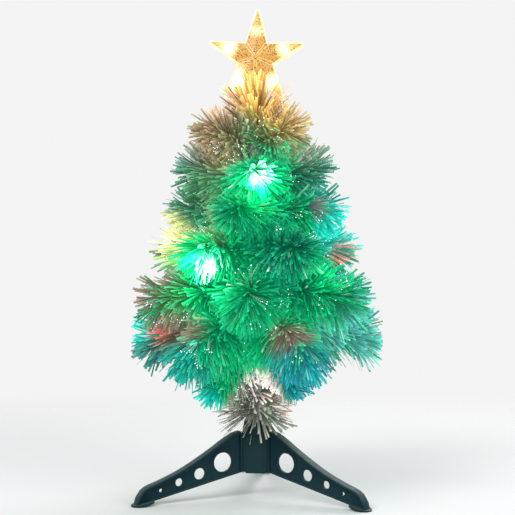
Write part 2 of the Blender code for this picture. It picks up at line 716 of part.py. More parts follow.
def make_star_socket(look):
    """The sleeve under the star. Its neck is trapped between the two halves."""
    notch_z = STAR_CENTRE_Z - STAR_NOTCH_RADIUS
    foot = PLUG_FLANGE_TOP_Z + GAP
    ceiling = PLUG_FLANGE_TOP_Z + SPIGOT_LENGTH + GAP
    shoulder = notch_z - STAR_NECK_RADIUS
    head = notch_z + STAR_NECK_SINK
    bore = SPIGOT_RADIUS + SLIDE_GAP
    return lathe("star_socket", [
        (0, ceiling),
        (bore, ceiling),
        (bore, foot),
        (STAR_SOCKET_RADIUS, foot),
        (STAR_SOCKET_RADIUS, shoulder - (STAR_SOCKET_RADIUS - STAR_NECK_RADIUS)),
        (STAR_NECK_RADIUS, shoulder),
        (STAR_NECK_RADIUS, head),
        (STAR_HEAD_RADIUS, head),
        (STAR_HEAD_RADIUS, head + STAR_HEAD_THICKNESS),
        (0, head + STAR_HEAD_THICKNESS),
    ], look, sides=20)


def make_star_board(look):
    points = [(x, y) for x, y in circle(STAR_BOARD_RADIUS, 10)]
    half = BOARD_THICKNESS / 2
    board = plate("star_board", points, -half, half, look)
    board.location.z = STAR_CENTRE_Z
    return board


def lamp_profile(foot):
    """A round-topped lamp of the 5 mm kind, standing on its rim."""
    return [
        (0, foot),
        (LAMP_RIM_RADIUS, foot),
        (LAMP_RIM_RADIUS, foot + LAMP_RIM),
        (LAMP_RADIUS, foot + LAMP_RIM),
        *dome(LAMP_RADIUS, foot + LAMP_BODY, 4),
    ]


def make_star_lamp(number, look):
    """A lamp in one arm. Its two leads run back to the board."""
    lamp = lathe(f"star_lamp_{number + 1}", lamp_profile(STAR_LAMP_PLACE), look, sides=14)
    board_edge = STAR_BOARD_RADIUS * math.cos(math.pi / 10)
    for side in (-1, 1):
        bm = bmesh.new()
        length = STAR_LAMP_PLACE - board_edge
        bmesh.ops.create_cone(
            bm, cap_ends=True, segments=6, radius1=LEAD_RADIUS, radius2=LEAD_RADIUS,
            depth=length,
            matrix=Matrix.Translation((side * LEAD_SPACING / 2, 0,
                                       board_edge + 2 * GAP + length / 2)),
        )
        boolean(lamp, finish(bm, "lead"), "UNION")
    lamp.rotation_euler.y = number * 2 * math.pi / 5
    lamp.location.z = STAR_CENTRE_Z
    return lamp


class Branch:
    """The path of one branch, in its own frame: bending point at the origin, +X out."""

    def __init__(self, tier_name, number):
        tier = TIERS[tier_name]
        self.root_z = WRAP_BOTTOM_Z + WRAP_HEIGHT * tier["height_share"]
        self.length = BRANCH_LENGTH * tier["core_share"]
        self.needle = NEEDLE_LENGTH * tier["needle_share"]
        self.slopes = [math.radians(slope) for slope in tier["slopes"]]
        self.azimuth = math.radians(tier["first"] + number * 360 / tier["count"])
        self.rings = tier["rings"]
        self.fold_share = tier["fold_share"]
        self.lamp = number in tier["lamps"]
        self.name = f"{tier_name}_branch_{number + 1}"

    def slope(self, distance):
        share = max(0.0, min(1.0, distance / self.length))
        return self.slopes[0] + (self.slopes[1] - self.slopes[0]) * share

    def point(self, distance):
        """The place on the core at a distance along it."""
        bend = (self.slopes[1] - self.slopes[0]) / self.length
        start = self.slopes[0]
        inside = max(0.0, min(self.length, distance))
        end = start + bend * inside
        x = (math.sin(end) - math.sin(start)) / bend
        z = (math.cos(start) - math.cos(end)) / bend
        beyond = distance - inside
        slope = end if beyond > 0 else start
        return Vector((x + beyond * math.cos(slope), 0, z + beyond * math.sin(slope)))

    def frame(self, distance):
        """Position and directions on the core: along it, and two across it."""
        slope = self.slope(distance)
        along = Vector((math.cos(slope), 0, math.sin(slope)))
        up = Vector((-math.sin(slope), 0, math.cos(slope)))
        return self.point(distance), along, Vector((0, 1, 0)), up

    def to_world(self, fold=0.0):
        """The matrix from the branch's frame to the tree's, folded up by an angle."""
        pivot = Vector((PIVOT_RADIUS * math.cos(self.azimuth),
                        PIVOT_RADIUS * math.sin(self.azimuth), self.root_z))
        return (Matrix.Translation(pivot) @ Matrix.Rotation(self.azimuth, 4, "Z")
                @ Matrix.Rotation(-fold * self.fold_share, 4, "Y"))


def segment_distance(a0, a1, b0, b1):
    """Least distance from segment a0-a1 to each segment b0[i]-b1[i]."""
    u = a1 - a0
    v = b1 - b0
    w = a0 - b0
    a = float(u @ u)
    b = v @ u
    c = np.einsum("ij,ij->i", v, v)
    d = w @ u
    e = np.einsum("ij,ij->i", v, w)
    bottom = np.maximum(a * c - b * b, a * c * 1e-9)
    s = np.clip((b * e - c * d) / bottom, 0, 1)
    t = np.clip((b * s + e) / c, 0, 1)
    s = np.clip((b * t - d) / a, 0, 1)
    gap = w + s[:, None] * u - t[:, None] * v
    return np.sqrt(np.einsum("ij,ij->i", gap, gap))


class Space:
    """Everything that a needle has to keep clear of, at each pose of the fold."""

    def __init__(self):
        self.folds = [FOLD_MOST * n / (FOLD_STEPS - 1) for n in range(FOLD_STEPS)]
        self.owners = []
        self.ends = []
        self.radii = []

    def add(self, owner, matrices, start, end, radius):
        """A bar from start to end, carried by its branch's matrix at each pose."""
        self.owners.append(owner)
        self.ends.append([[m @ start, m @ end] for m in matrices])
        self.radii.append(radius)

    def freeze(self):
        self.owner_array = np.array(self.owners)
        self.end_array = np.array(self.ends, float)
        self.radius_array = np.array(self.radii)

    def clear_of(self, owner, matrices, start, end, radius):
        """Whether a needle from start to end stays clear at every pose."""
        mine = self.owner_array == owner
        skipped = start.lerp(end, STRAND_ROOT_SHARE)
        needed = self.radius_array + radius
        for n, matrix in enumerate(matrices):
            points = [np.array(matrix @ p, float) for p in (start, skipped, end)]
            if not allowed(points[0], points[2]):
                return False
            others = ~mine
            found = segment_distance(
                points[0], points[2],
                self.end_array[others, n, 0], self.end_array[others, n, 1],
            )
            if (found < needed[others]).any():
                return False
            own = mine & (self.radius_array < CORE_RADIUS)
            if own.any():
                found = segment_distance(
                    points[1], points[2],
                    self.end_array[own, n, 0], self.end_array[own, n, 1],
                )
                if (found < needed[own] * OWN_SPACE_SHARE).any():
                    return False
        return True


def allowed(start, end):
    """Whether a needle keeps off the star's path, the trunk and the stand."""
    thick = STAR_RIM_DEPTH + STAR_RISE + STRAND_WIDTH
    low_tip = STAR_CENTRE_Z - STAR_RADIUS * math.cos(math.pi / 5)
    for share in TESTED_SHARES:
        x, y, z = start + (end - start) * share
        off_axis = math.hypot(x, y)
        by_star = z > low_tip - STRAND_WIDTH * 2
        if by_star and abs(y) < thick and abs(x) < STAR_RADIUS + STRAND_WIDTH:
            return False
        at_root = share == TESTED_SHARES[0]
        if off_axis < BAND_RADIUS + STRAND_WIDTH / 2 and not at_root:
            return False
        if z < COLLAR_TOP_Z + STRAND_WIDTH and off_axis < COLLAR_BASE_RADIUS + STRAND_WIDTH:
            return False
        if z < LEG_HEIGHT + STRAND_WIDTH:
            return False
    return True


def strand_choices(out, along, lean, length, chance):
    """Directions and lengths to try for one needle, the wanted one first."""
    across = out.cross(along)
    for share in SHORTENING_SHARES:
        for attempt in range(STRAND_TRIES):
            sway = FIRST_SWAY + SWAY_STEP * attempt
            turn = chance.uniform(-1, 1) * sway * TURN_SHARE
            tilt = lean + chance.uniform(-1, 1) * sway
            sideways = out * math.cos(turn) + across * math.sin(turn)
            direction = sideways * math.sin(tilt) + along * math.cos(tilt)
            yield direction.normalized() * length * share * chance.uniform(*UNEVEN_SHARES)


def grow_strands(bm, roots, owner, matrices, space, chance):
    """Pulls a flat needle out of each chosen face of a core, clear of all others.
    roots are (face, outward direction, direction of the core, lean, needle length)."""
    for face, out, along, lean, length in roots:
        start = face.calc_center_median()
        for reach in strand_choices(out, along, lean, length, chance):
            end = start + reach
            if space.clear_of(owner, matrices, start, end, STRAND_SPACE / 2):
                break
        else:
            continue
        space.add(owner, matrices, start, end, STRAND_SPACE / 2)
        space.freeze()
        pulled = bmesh.ops.extrude_discrete_faces(bm, faces=[face])["faces"][0]
        wide = out.cross(along).normalized()
        thin = wide.cross(reach).normalized()
        middle = start.copy()
        for vert in pulled.verts:
            offset = vert.co - middle
            broad = math.copysign(STRAND_WIDTH / 2, offset.dot(wide))
            slim = math.copysign(STRAND_THICKNESS / 2, offset.dot(thin))
            vert.co = end + wide * broad + thin * slim


def tube_of_rings(bm, stations, sides):
    """A closed tube through rings of (middle, across, up, radius). Returns its quads by
    ring and side."""
    rings = []
    for middle, across, up, radius in stations:
        turn = 2 * math.pi / sides
        rings.append([
            bm.verts.new(middle + across * radius * math.sin(n * turn)
                         + up * radius * math.cos(n * turn))
            for n in range(sides)
        ])
    quads = []
    for a, b in zip(rings, rings[1:]):
        quads.append([
            bm.faces.new((a[n], b[n], b[(n + 1) % sides], a[(n + 1) % sides]))
            for n in range(sides)
        ])
    bm.faces.new(rings[0])
    bm.faces.new(rings[-1][::-1])
    return quads


def ring_places(branch):
    """Distances along the core at which a ring of needles grows."""
    last = branch.length * LAST_RING_SHARE
    if branch.lamp:
        last = branch.length - LAMP_BACKSET
    first = branch.length * BARE_CORE_SHARE
    step = (last - first) / (branch.rings - 1)
    return [first + step * n for n in range(branch.rings)]


def make_branch(branch, space, look):
    """The wire core with its needles, one solid, its origin at the bending point."""
    bm = bmesh.new()
    places = ring_places(branch)
    stops = [-ROOT_STUB, 0.0]
    for place in places:
        stops += [place - STRAND_ROOT / 2, place + STRAND_ROOT / 2]
    stops.append(branch.length)
    stations = []
    for stop in stops:
        middle, _, across, up = branch.frame(stop)
        radius = ROOT_STUB_RADIUS if stop < 0 else CORE_RADIUS
        stations.append((middle, across, up, radius))
    if not branch.lamp:
        middle, _, across, up = branch.frame(branch.length + branch.needle)
        stations.append((middle, across, up, STRAND_THICKNESS))
    quads = tube_of_rings(bm, stations, CORE_SIDES)
    bm.normal_update()
    matrices = [branch.to_world(fold) for fold in space.folds]
    chance = random.Random(branch.name)
    roots = []
    for n, place in enumerate(places):
        _, along, _, _ = branch.frame(place)
        near_tip = n / (len(places) - 1)
        lean = ROOT_LEAN + (TIP_LEAN - ROOT_LEAN) * near_tip
        length = branch.needle * (ROOT_NEEDLE_SHARE + (1 - ROOT_NEEDLE_SHARE) * near_tip)
        for side in range(n % 2, CORE_SIDES, 2):
            face = quads[2 + 2 * n][side]
            out = (face.normal - along * face.normal.dot(along)).normalized()
            roots.append((face, out, along, lean, length))
    grow_strands(bm, roots, branch.name, matrices, space, chance)
    obj = finish(bm, branch.name, look, turn_faces=False, smooth=False)
    obj.location = branch.to_world().to_translation()
    obj.rotation_euler.z = branch.azimuth
    return obj


def make_branch_lamp(branch, look):
    """A lamp in its sleeve, on the end of a branch's core."""
    foot = branch.length + GAP
    lamp = lathe(f"lamp_{branch.name}", [
        (0, foot),
        (SLEEVE_RADIUS, foot),
        (SLEEVE_RADIUS, foot + SLEEVE_LENGTH),
        (LAMP_RADIUS, foot + SLEEVE_LENGTH),
        *dome(LAMP_RADIUS, foot + SLEEVE_LENGTH + LAMP_RIM, 4),
    ], look, sides=14)
    tip = branch.point(branch.length)
    slope = branch.slope(branch.length)
    lay = (branch.to_world() @ Matrix.Translation(tip)
           @ Matrix.Rotation(math.pi / 2 - slope, 4, "Y")
           @ Matrix.Translation((0, 0, -branch.length)))
    lamp.matrix_world = lay
    return lamp


def make_tuft(name, space, look):
    """A short sleeve round the pole with needles all round it."""
    tuft = TUFTS[name]
    low = TUFT_FOOT_Z[name]
    high = low + TUFT_SLEEVE * tuft["sleeve_share"]
    low_lean, high_lean = [math.radians(lean) for lean in tuft["leans"]]
    bm = bmesh.new()
    inner = POLE_RADIUS + GAP
    outer = inner + TUFT_WALL
    step = (high - low) / (TUFT_RINGS + 1)
    heights = [low]
    for n in range(TUFT_RINGS):
        middle = low + step * (n + 1)
        heights += [middle - STRAND_ROOT, middle + STRAND_ROOT]
    heights.append(high)
    turn = 2 * math.pi / TUFT_SIDES

    def circle_at(radius, z):
        return [bm.verts.new((radius * math.cos(k * turn), radius * math.sin(k * turn), z))
                for k in range(TUFT_SIDES)]

    def bridge(a, b):
        return [bm.faces.new((a[k], a[(k + 1) % TUFT_SIDES], b[(k + 1) % TUFT_SIDES], b[k]))
                for k in range(TUFT_SIDES)]

    outside = [circle_at(outer, z) for z in heights]
    quads = [bridge(a, b) for a, b in zip(outside, outside[1:])]
    inside_low, inside_high = circle_at(inner, low), circle_at(inner, high)
    bridge(inside_low, outside[0])
    bridge(outside[-1], inside_high)
    bridge(inside_high, inside_low)
    bm.normal_update()
    upright = Vector((0, 0, 1))
    chance = random.Random(name)
    roots = []
    for n in range(TUFT_RINGS):
        lean = low_lean + (high_lean - low_lean) * n / (TUFT_RINGS - 1)
        for k in range(n % 2, TUFT_SIDES, 2):
            face = quads[1 + 2 * n][k]
            middle = face.calc_center_median()
            out = Vector((middle.x, middle.y, 0)).normalized()
            length = NEEDLE_LENGTH * tuft["needle_share"]
            roots.append((face, out, upright, lean, length))
    still = [Matrix.Identity(4) for _ in space.folds]
    grow_strands(bm, roots, name, still, space, chance)
    return finish(bm, name, look, turn_faces=False, smooth=False)


def block_out(branches, space):
    """Enters every core and lamp in the space before any needle grows."""
    for branch in branches:
        matrices = [branch.to_world(fold) for fold in space.folds]
        for n in range(CORE_STEPS):
            a = branch.point(branch.length * n / CORE_STEPS)
            b = branch.point(branch.length * (n + 1) / CORE_STEPS)
            space.add(branch.name, matrices, a, b, CORE_RADIUS + GAP)
        tip = branch.point(branch.length)
        if branch.lamp:
            end = branch.point(branch.length + SLEEVE_LENGTH + LAMP_RADIUS + LAMP_RIM)
            space.add(branch.name, matrices, tip, end, SLEEVE_RADIUS + GAP)
        else:
            end = branch.point(branch.length + branch.needle)
            space.add(branch.name, matrices, tip, end, STRAND_SPACE / 2)
    space.freeze()


def main():
    clear_scene()
    stand = material("stand plastic", (0.045, 0.095, 0.105), 0.42)
    clear = material("clear plastic", (1.0, 0.86, 0.55), 0.18, alpha=0.45)
    lens = material("lamp lens", (1.0, 0.95, 0.80), 0.12)
    board = material("circuit board", (0.05, 0.22, 0.10), 0.50)
    white = material("white plastic", (0.82, 0.84, 0.82), 0.45)
    steel = material("coated steel tube", (0.70, 0.74, 0.72), 0.35, metallic=0.6)
    fibre = material("optical fibre", (0.75, 0.90, 0.88), 0.20)
    film = material("needle film", (0.05, 0.52, 0.32), 0.38)
    pale = material("pale needle film", (0.52, 0.55, 0.50), 0.42)

    make_hub(stand)
    make_cap(stand)
    make_inlet(white)
    make_light_engine(board)
    for name, angle in LEG_ANGLES.items():
        make_leg(name, angle, stand)

    crown = bpy.data.objects.new("crown", None)
    crown.location.z = POLE_BOTTOM_Z
    bpy.context.scene.collection.objects.link(crown)
    star = bpy.data.objects.new("star", None)
    star.location.z = PLUG_FLANGE_TOP_Z - POLE_BOTTOM_Z
    bpy.context.scene.collection.objects.link(star)
    star.parent = crown

    trunk_pieces = [make_pole(steel), make_wrap(white), make_bundle(fibre),
                    make_top_plug(white)]
    star_pieces = [star_shell("star_front", -1, clear), star_shell("star_back", 1, clear),
                   make_star_socket(white), make_star_board(board)]
    star_pieces += [make_star_lamp(n, lens) for n in range(5)]

    branches = [
        Branch(name, n) for name, tier in TIERS.items() for n in range(tier["count"])
    ]
    space = Space()
    block_out(branches, space)
    trunk_pieces.append(make_tuft("top_tuft", space, pale))
    trunk_pieces.append(make_tuft("lower_tuft", space, pale))
    for branch in branches:
        trunk_pieces.append(make_branch(branch, space, film))
        if branch.lamp:
            trunk_pieces.append(make_branch_lamp(branch, lens))

    bpy.context.view_layer.update()
    for pieces, parent in ((trunk_pieces, crown), (star_pieces, star)):
        for obj in pieces:
            placed = obj.matrix_world.copy()
            obj.parent = parent
            obj.matrix_parent_inverse = parent.matrix_world.inverted()
            obj.matrix_world = placed


main()
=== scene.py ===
import json
import math
import random

import bpy
import numpy as np
from mathutils import Matrix, Vector


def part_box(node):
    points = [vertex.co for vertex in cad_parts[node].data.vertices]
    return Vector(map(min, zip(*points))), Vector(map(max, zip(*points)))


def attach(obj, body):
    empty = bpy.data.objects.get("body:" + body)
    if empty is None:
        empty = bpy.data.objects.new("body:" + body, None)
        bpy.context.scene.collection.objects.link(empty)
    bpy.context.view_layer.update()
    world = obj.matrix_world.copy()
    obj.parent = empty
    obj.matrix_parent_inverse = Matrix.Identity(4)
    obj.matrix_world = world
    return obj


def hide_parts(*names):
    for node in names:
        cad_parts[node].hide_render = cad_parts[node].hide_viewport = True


# A tabletop fibre optic tree, dressed over its CAD frame.
# Metres, +Z up, front is -Y, the trunk stands on the Z axis.

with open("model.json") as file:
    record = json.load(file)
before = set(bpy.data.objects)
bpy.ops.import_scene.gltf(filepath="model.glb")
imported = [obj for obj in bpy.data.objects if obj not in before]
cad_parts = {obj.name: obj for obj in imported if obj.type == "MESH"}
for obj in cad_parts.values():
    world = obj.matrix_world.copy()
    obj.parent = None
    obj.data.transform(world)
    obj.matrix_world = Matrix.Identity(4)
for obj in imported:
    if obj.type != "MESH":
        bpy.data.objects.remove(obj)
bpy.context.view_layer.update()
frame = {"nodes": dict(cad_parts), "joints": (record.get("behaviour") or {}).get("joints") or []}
print("frame loaded:", len(frame["nodes"]), "nodes")


def clearSelection():
    if bpy.context.object and bpy.context.object.mode != "OBJECT":
        bpy.ops.object.mode_set(mode="OBJECT")
    bpy.ops.object.select_all(action="DESELECT")


def makeActive(obj):
    clearSelection()
    obj.select_set(True)
    bpy.context.view_layer.objects.active = obj


def added(operator, **settings):
    # the object that an add operator makes
    clearSelection()
    operator(**settings)
    return bpy.context.object


def applyPlace(obj):
    # puts the place into the mesh, so the object sits at the origin
    makeActive(obj)
    bpy.ops.object.transform_apply(location=True, rotation=True, scale=True)


def addBlock(place, size, tilt=0):
    block = added(bpy.ops.mesh.primitive_cube_add, size=1, location=place,
                  rotation=(0, tilt, 0))
    block.scale = size
    applyPlace(block)
    return block


def makeRods(name, radius, resolution, paths, closed=False):
    # a round rod along each path, all in one mesh
    curve = bpy.data.curves.new(name, "CURVE")
    curve.dimensions = "3D"
    curve.bevel_depth = radius
    curve.bevel_resolution = resolution
    curve.use_fill_caps = not closed
    for spots in paths:
        spline = curve.splines.new("POLY")
        spline.points.add(len(spots) - 1)
        for point, spot in zip(spline.points, spots):
            point.co = (*spot, 1)
        spline.use_cyclic_u = closed
    obj = bpy.data.objects.new(name, curve)
    bpy.context.scene.collection.objects.link(obj)
    makeActive(obj)
    bpy.ops.object.convert(target="MESH")
    return bpy.context.object


def applyModifiers(obj):
    makeActive(obj)
    for modifier in list(obj.modifiers):
        bpy.ops.object.modifier_apply(modifier=modifier.name)


def roundEdges(obj, width, segments=2, angle=35):
    bevel = obj.modifiers.new("roundedEdges", "BEVEL")
    bevel.width = width
    bevel.segments = segments
    bevel.limit_method = "ANGLE"
    bevel.angle_limit = math.radians(angle)
    applyModifiers(obj)


def thicken(obj, thickness):
    # gives a sheet a wall, half of it on each side
    wall = obj.modifiers.new("wall", "SOLIDIFY")
    wall.thickness = thickness
    wall.offset = 0
    applyModifiers(obj)


def cutWith(obj, cutter):
    cut = obj.modifiers.new("cut", "BOOLEAN")
    cut.operation = "DIFFERENCE"
    cut.object = cutter
    applyModifiers(obj)
    discard(cutter)


def discard(obj):
    bpy.data.objects.remove(obj, do_unlink=True)


def turnAbout(obj, degrees):
    obj.data.transform(Matrix.Rotation(math.radians(degrees), 4, "Z"))


def lookAt(obj, aim, place):
    obj.rotation_euler = (aim - place).to_track_quat("-Z", "Y").to_euler()


def smoothByAngle(obj, angle=40):
    makeActive(obj)
    bpy.ops.object.shade_smooth_by_angle(angle=math.radians(angle))


def joinAll(parts, name):
    clearSelection()
    for part in parts:
        part.select_set(True)
    bpy.context.view_layer.objects.active = parts[0]
    bpy.ops.object.join()
    joined = bpy.context.object
    joined.name = name
    joined.data.name = name
    return joined


def dress(obj, material):
    obj.data.materials.clear()
    obj.data.materials.append(material)


def declare(obj, body, slot, *replaced):
    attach(obj, body)
    if replaced:
        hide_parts(*replaced)


def editAll(obj):
    makeActive(obj)
    bpy.ops.object.mode_set(mode="EDIT")
    bpy.ops.mesh.select_all(action="SELECT")


def copyNode(node, name):
    # a merged copy of a CAD node, to be worked on as a new piece
    obj = frame["nodes"][node].copy()
    obj.data = obj.data.copy()
    obj.parent = None
    for key in list(obj.keys()):
        del obj[key]
    bpy.context.scene.collection.objects.link(obj)
    obj.name = name
    obj.data.name = name
    editAll(obj)
    bpy.ops.mesh.remove_doubles(threshold=0.00001)
    bpy.ops.mesh.dissolve_limited(angle_limit=math.radians(1))
    bpy.ops.object.mode_set(mode="OBJECT")
    return obj


class NodeMaker:
    # adds and joins nodes in a material or a world

    def __init__(self, owner):
        owner.use_nodes = True
        self.owner = owner
        self.tree = owner.node_tree

    def feed(self, node, inputs):
        # an input takes a number, a colour, a place or another node's output
        for key, value in inputs.items():
            target = node.inputs[key]
            if isinstance(value, bpy.types.NodeSocket):
                self.tree.links.new(value, target)
            elif isinstance(value, tuple) and len(value) < len(target.default_value):
                target.default_value = (*value, 1)
            else:
                target.default_value = value

    def shade(self, inputs):
        self.feed(self.tree.nodes["Principled BSDF"], inputs)
        return self.owner

    def add(self, kind, inputs=None, **settings):
        node = self.tree.nodes.new("ShaderNode" + kind)
        for key, value in settings.items():
            setattr(node, key, value)
        self.feed(node, inputs or {})
        return node

    def place(self):
        return self.add("TexCoord").outputs["Object"]

    def noise(self, scale, detail, stretch=(1, 1, 1)):
        mapping = self.add("Mapping", {"Vector": self.place(), "Scale": stretch})
        return self.add("TexNoise", {"Vector": mapping.outputs["Vector"], "Scale": scale,
                                     "Detail": detail}).outputs["Fac"]

    def ramp(self, source, stops):
        ramp = self.add("ValToRGB", {"Fac": source})
        while len(ramp.color_ramp.elements) < len(stops):
            ramp.color_ramp.elements.new(0.5)
        for element, (at, colour) in zip(ramp.color_ramp.elements, stops):
            element.position = at
            element.color = (*colour, 1) if isinstance(colour, tuple) else (colour,) * 3 + (1,)
        return ramp.outputs["Color"]

    def calc(self, operation, first, second):
        return self.add("Math", {0: first, 1: second}, operation=operation).outputs["Value"]

    def distance(self, first, second):
        node = self.add("VectorMath", {0: first, 1: second}, operation="DISTANCE")
        return node.outputs["Value"]

    def mix(self, first, second, share, blend="MIX"):
        node = self.add("Mix", data_type="RGBA", blend_type=blend)
        self.feed(node, {0: share, 6: first, 7: second})
        return node.outputs[2]

    def bump(self, source, height, strength):
        node = self.add("Bump", {"Height": source, "Distance": height, "Strength": strength})
        return node.outputs["Normal"]


def newMaterial(name, colour, roughness, metallic=0.0):
    material = bpy.data.materials.new(name)
    material.diffuse_color = (*colour, 1)
    look = NodeMaker(material)
    look.shade({"Base Color": colour, "Roughness": roughness, "Metallic": metallic})
    return look


standFinish = {
    "deep": (0.007, 0.028, 0.037),
    "plain": (0.010, 0.037, 0.048),
    # pale edges: partly wear, partly painted highlight
    "rubbedAndHighlit": (0.014, 0.040, 0.045),
    # colour of faces that look up: a little dust and painted light from above
    "dustAndTopLight": (0.056, 0.086, 0.080),
    "roughness": 0.46,
    "cloudScale": 26,
    "grainScale": 2400,
}


def makeStandPlastic():
    look = newMaterial("standPlastic", standFinish["plain"], standFinish["roughness"])
    plastic = look.ramp(look.noise(standFinish["cloudScale"], 6), [
        (0.32, standFinish["deep"]), (0.62, standFinish["plain"]),
    ])
    # moulded edges are painted paler: partly wear from use, partly a painted highlight
    shape = look.add("NewGeometry").outputs
    edge = look.ramp(shape["Pointiness"], [(0.505, 0.0), (0.56, 1.0)])
    wornAndHighlit = look.mix(plastic, standFinish["rubbedAndHighlit"], edge)
    # and faces that look up are painted paler: a little dust, and painted light from above
    height = look.add("SeparateXYZ", {0: shape["Normal"]})
    top = look.ramp(height.outputs["Z"], [(0.35, 0.0), (0.80, 0.80)])
    return look.shade({
        "Base Color": look.mix(wornAndHighlit, standFinish["dustAndTopLight"], top),
        "Roughness": look.ramp(look.noise(90, 8, (1, 1, 3)), [(0.35, 0.38), (0.70, 0.56)]),
        "Specular IOR Level": 0.06,
        "Normal": look.bump(look.noise(standFinish["grainScale"], 2), 0.00006, 0.35),
    })


filmFinish = {
    "baseShare": 0.85,
    "glow": 0.62,
    "roughness": (0.24, 0.42),
    "streakScale": 700,
}


def makeNeedleFilm():
    # tint holds the colour that the lamps give each strip, its alpha how strongly it glows
    look = newMaterial("needleFilm", (0.02, 0.34, 0.15), 0.3)
    tint = look.add("Attribute", attribute_name="tint").outputs
    streak = look.noise(filmFinish["streakScale"], 3)
    low = filmFinish["baseShare"]
    smooth, rough = filmFinish["roughness"]
    shade = look.ramp(streak, [(0.30, low * 0.72), (0.62, low)])
    return look.shade({
        "Base Color": look.mix(tint["Color"], shade, 1.0, "MULTIPLY"),
        "Emission Color": tint["Color"],
        "Emission Strength": look.calc("MULTIPLY", tint["Alpha"], filmFinish["glow"]),
        "Roughness": look.ramp(streak, [(0.30, smooth), (0.70, rough)]),
        "Specular IOR Level": 0.18,
        "Normal": look.bump(streak, 0.00012, 0.35),
    })


def makeFibreTip():
    look = newMaterial("fibreTip", (0.85, 1.0, 0.96), 0.15)
    tint = look.add("Attribute", attribute_name="tint").outputs
    flicker = look.ramp(look.noise(60, 2), [(0.35, 0.6), (0.60, 1.0)])
    return look.shade({"Emission Color": look.mix(tint["Color"], flicker, 1.0, "MULTIPLY"),
                       "Emission Strength": tint["Alpha"]})


starFinish = {
    "amber": (0.86, 0.43, 0.075),
    "brown": (0.22, 0.11, 0.030),
    "gold": (0.96, 0.68, 0.20),
    "pale": (1.0, 0.92, 0.56),
    "hot": (1.0, 1.0, 0.97),
    "hotReach": 0.0098,
    "paleReach": 0.0112,
    "goldReach": 0.0142,
    "pebbleScale": 560,
    "speckScale": 560,
    "clearIOR": 1.49,
}
starForm = {
    "centreHeight": 0.5746,
    "roll": 2.6,
    "tip": 0.0654,
    "notch": 0.0254,
    "tipRound": 0.0019,
    "rimDepth": 0.0050,
    "rise": 0.0052,
    "wall": 0.0012,
    "bead": 0.0014,
    "beadRound": 0.0026,
    "faceInset": 0.0008,
    "lamps": ((0.0345, 0.90), (0.0385, 1.05), (0.0385, 1.15), (0.0420, 2.00), (0.0385, 1.20)),
    "ridge": 0.00046,
    "ridgeLift": 0.0005,
    "ridgeSpacing": 0.0046,
    "ridgeStart": 0.003,
    "ridgeShort": 0.0015,
    "pebbleHeight": 0.00045,
    "pebbleSize": 0.0022,
    "halfGap": 0.00018,
    "wallShort": 0.0006,
}
fifth = 2 * math.pi / 5  # from one arm to the next


def starPlace(angle, reach, depth=0.0):
    # a place on the star: the angle runs clockwise from straight up, seen from the front
    angle += math.radians(starForm["roll"])
    return Vector((reach * math.sin(angle), depth,
                   starForm["centreHeight"] + reach * math.cos(angle)))


def makeStarPlastic():
    look = newMaterial("starPlastic", starFinish["amber"], 0.38)
    place = look.place()
    nearest = None
    for number, (reach, size) in enumerate(starForm["lamps"]):
        gap = look.distance(place, starPlace(number * fifth, reach))
        away = look.calc("DIVIDE", gap, size)
        nearest = look.calc("MINIMUM", nearest, away) if nearest else away
    pebble = look.add("TexVoronoi", {"Vector": place, "Scale": starFinish["pebbleScale"]})
    pebble = pebble.outputs["Distance"]
    # pebbles scatter the lamps' light, so the distance is shaken by them
    away = look.calc("ADD", nearest, look.calc("MULTIPLY", pebble, 0.005))
    whole = starFinish["goldReach"] * 1.25
    share = look.calc("DIVIDE", away, whole)
    glow = look.ramp(share, [
        (starFinish["hotReach"] / whole * 0.7, starFinish["hot"]),
        (starFinish["paleReach"] / whole, starFinish["pale"]),
        (starFinish["goldReach"] / whole, starFinish["gold"]),
        (1.0, starFinish["amber"]),
    ])
    # the arms are paler beyond their lamps
    reached = look.calc("DIVIDE", look.distance(place, starPlace(0, 0)), starForm["tip"])
    outer = look.ramp(reached, [(0.60, 0.0), (0.78, 0.60)])
    glow = look.mix(glow, starFinish["gold"], outer)
    # dark speckles where pebbles turn away from the light, most of them off the lamps
    black = (0.0, 0.0, 0.0)
    speckle = look.ramp(look.noise(starFinish["speckScale"], 3), [(0.39, 0.95), (0.46, 0.0)])
    lit = look.ramp(share, [(0.55, 0.0), (0.90, 1.0)])
    inner = look.ramp(reached, [(0.55, 1.0), (0.75, 0.65)])
    speckle = look.mix(black, speckle, look.calc("MINIMUM", lit, inner))
    colour = look.mix(glow, starFinish["brown"], speckle)
    power = look.ramp(share, [(0.45, 1.0), (0.66, 0.60), (0.95, 0.38)])
    power = look.calc("MULTIPLY", 1.5, power)
    return look.shade({
        "Base Color": look.mix(black, colour, 0.40),
        "Emission Color": colour,
        "Emission Strength": look.calc("ADD", power, look.calc("MULTIPLY", outer, 0.10)),
        "IOR": starFinish["clearIOR"],
        "Coat Weight": 0.15,
        "Coat Roughness": 0.20,
        "Normal": look.bump(pebble, 0.0005, 0.9),
    })


def makeStarRim():
    # the rim is no lamp: its glow is painted light from the star's lamps inside
    look = newMaterial("starRim", (0.60, 0.48, 0.26), 0.10)
    glow = look.ramp(look.noise(85, 3), [
        (0.30, (1.0, 0.64, 0.20)), (0.44, (1.0, 0.80, 0.38)), (0.58, (1.0, 0.93, 0.64)),
    ])
    return look.shade({"Emission Color": glow, "Emission Strength": 0.72,
                       "IOR": starFinish["clearIOR"], "Coat Weight": 0.6})


def makeTrunkFilm():
    # crinkled pale film wound round the trunk
    look = newMaterial("trunkFilm", (0.62, 0.70, 0.66), 0.30)
    crinkle = look.noise(240, 6, (1, 1, 0.35))
    shades = [(0.32, (0.30, 0.44, 0.38)), (0.62, (0.72, 0.80, 0.76))]
    return look.shade({"Base Color": look.ramp(crinkle, shades),
                       "Normal": look.bump(crinkle, 0.0006, 0.7)})


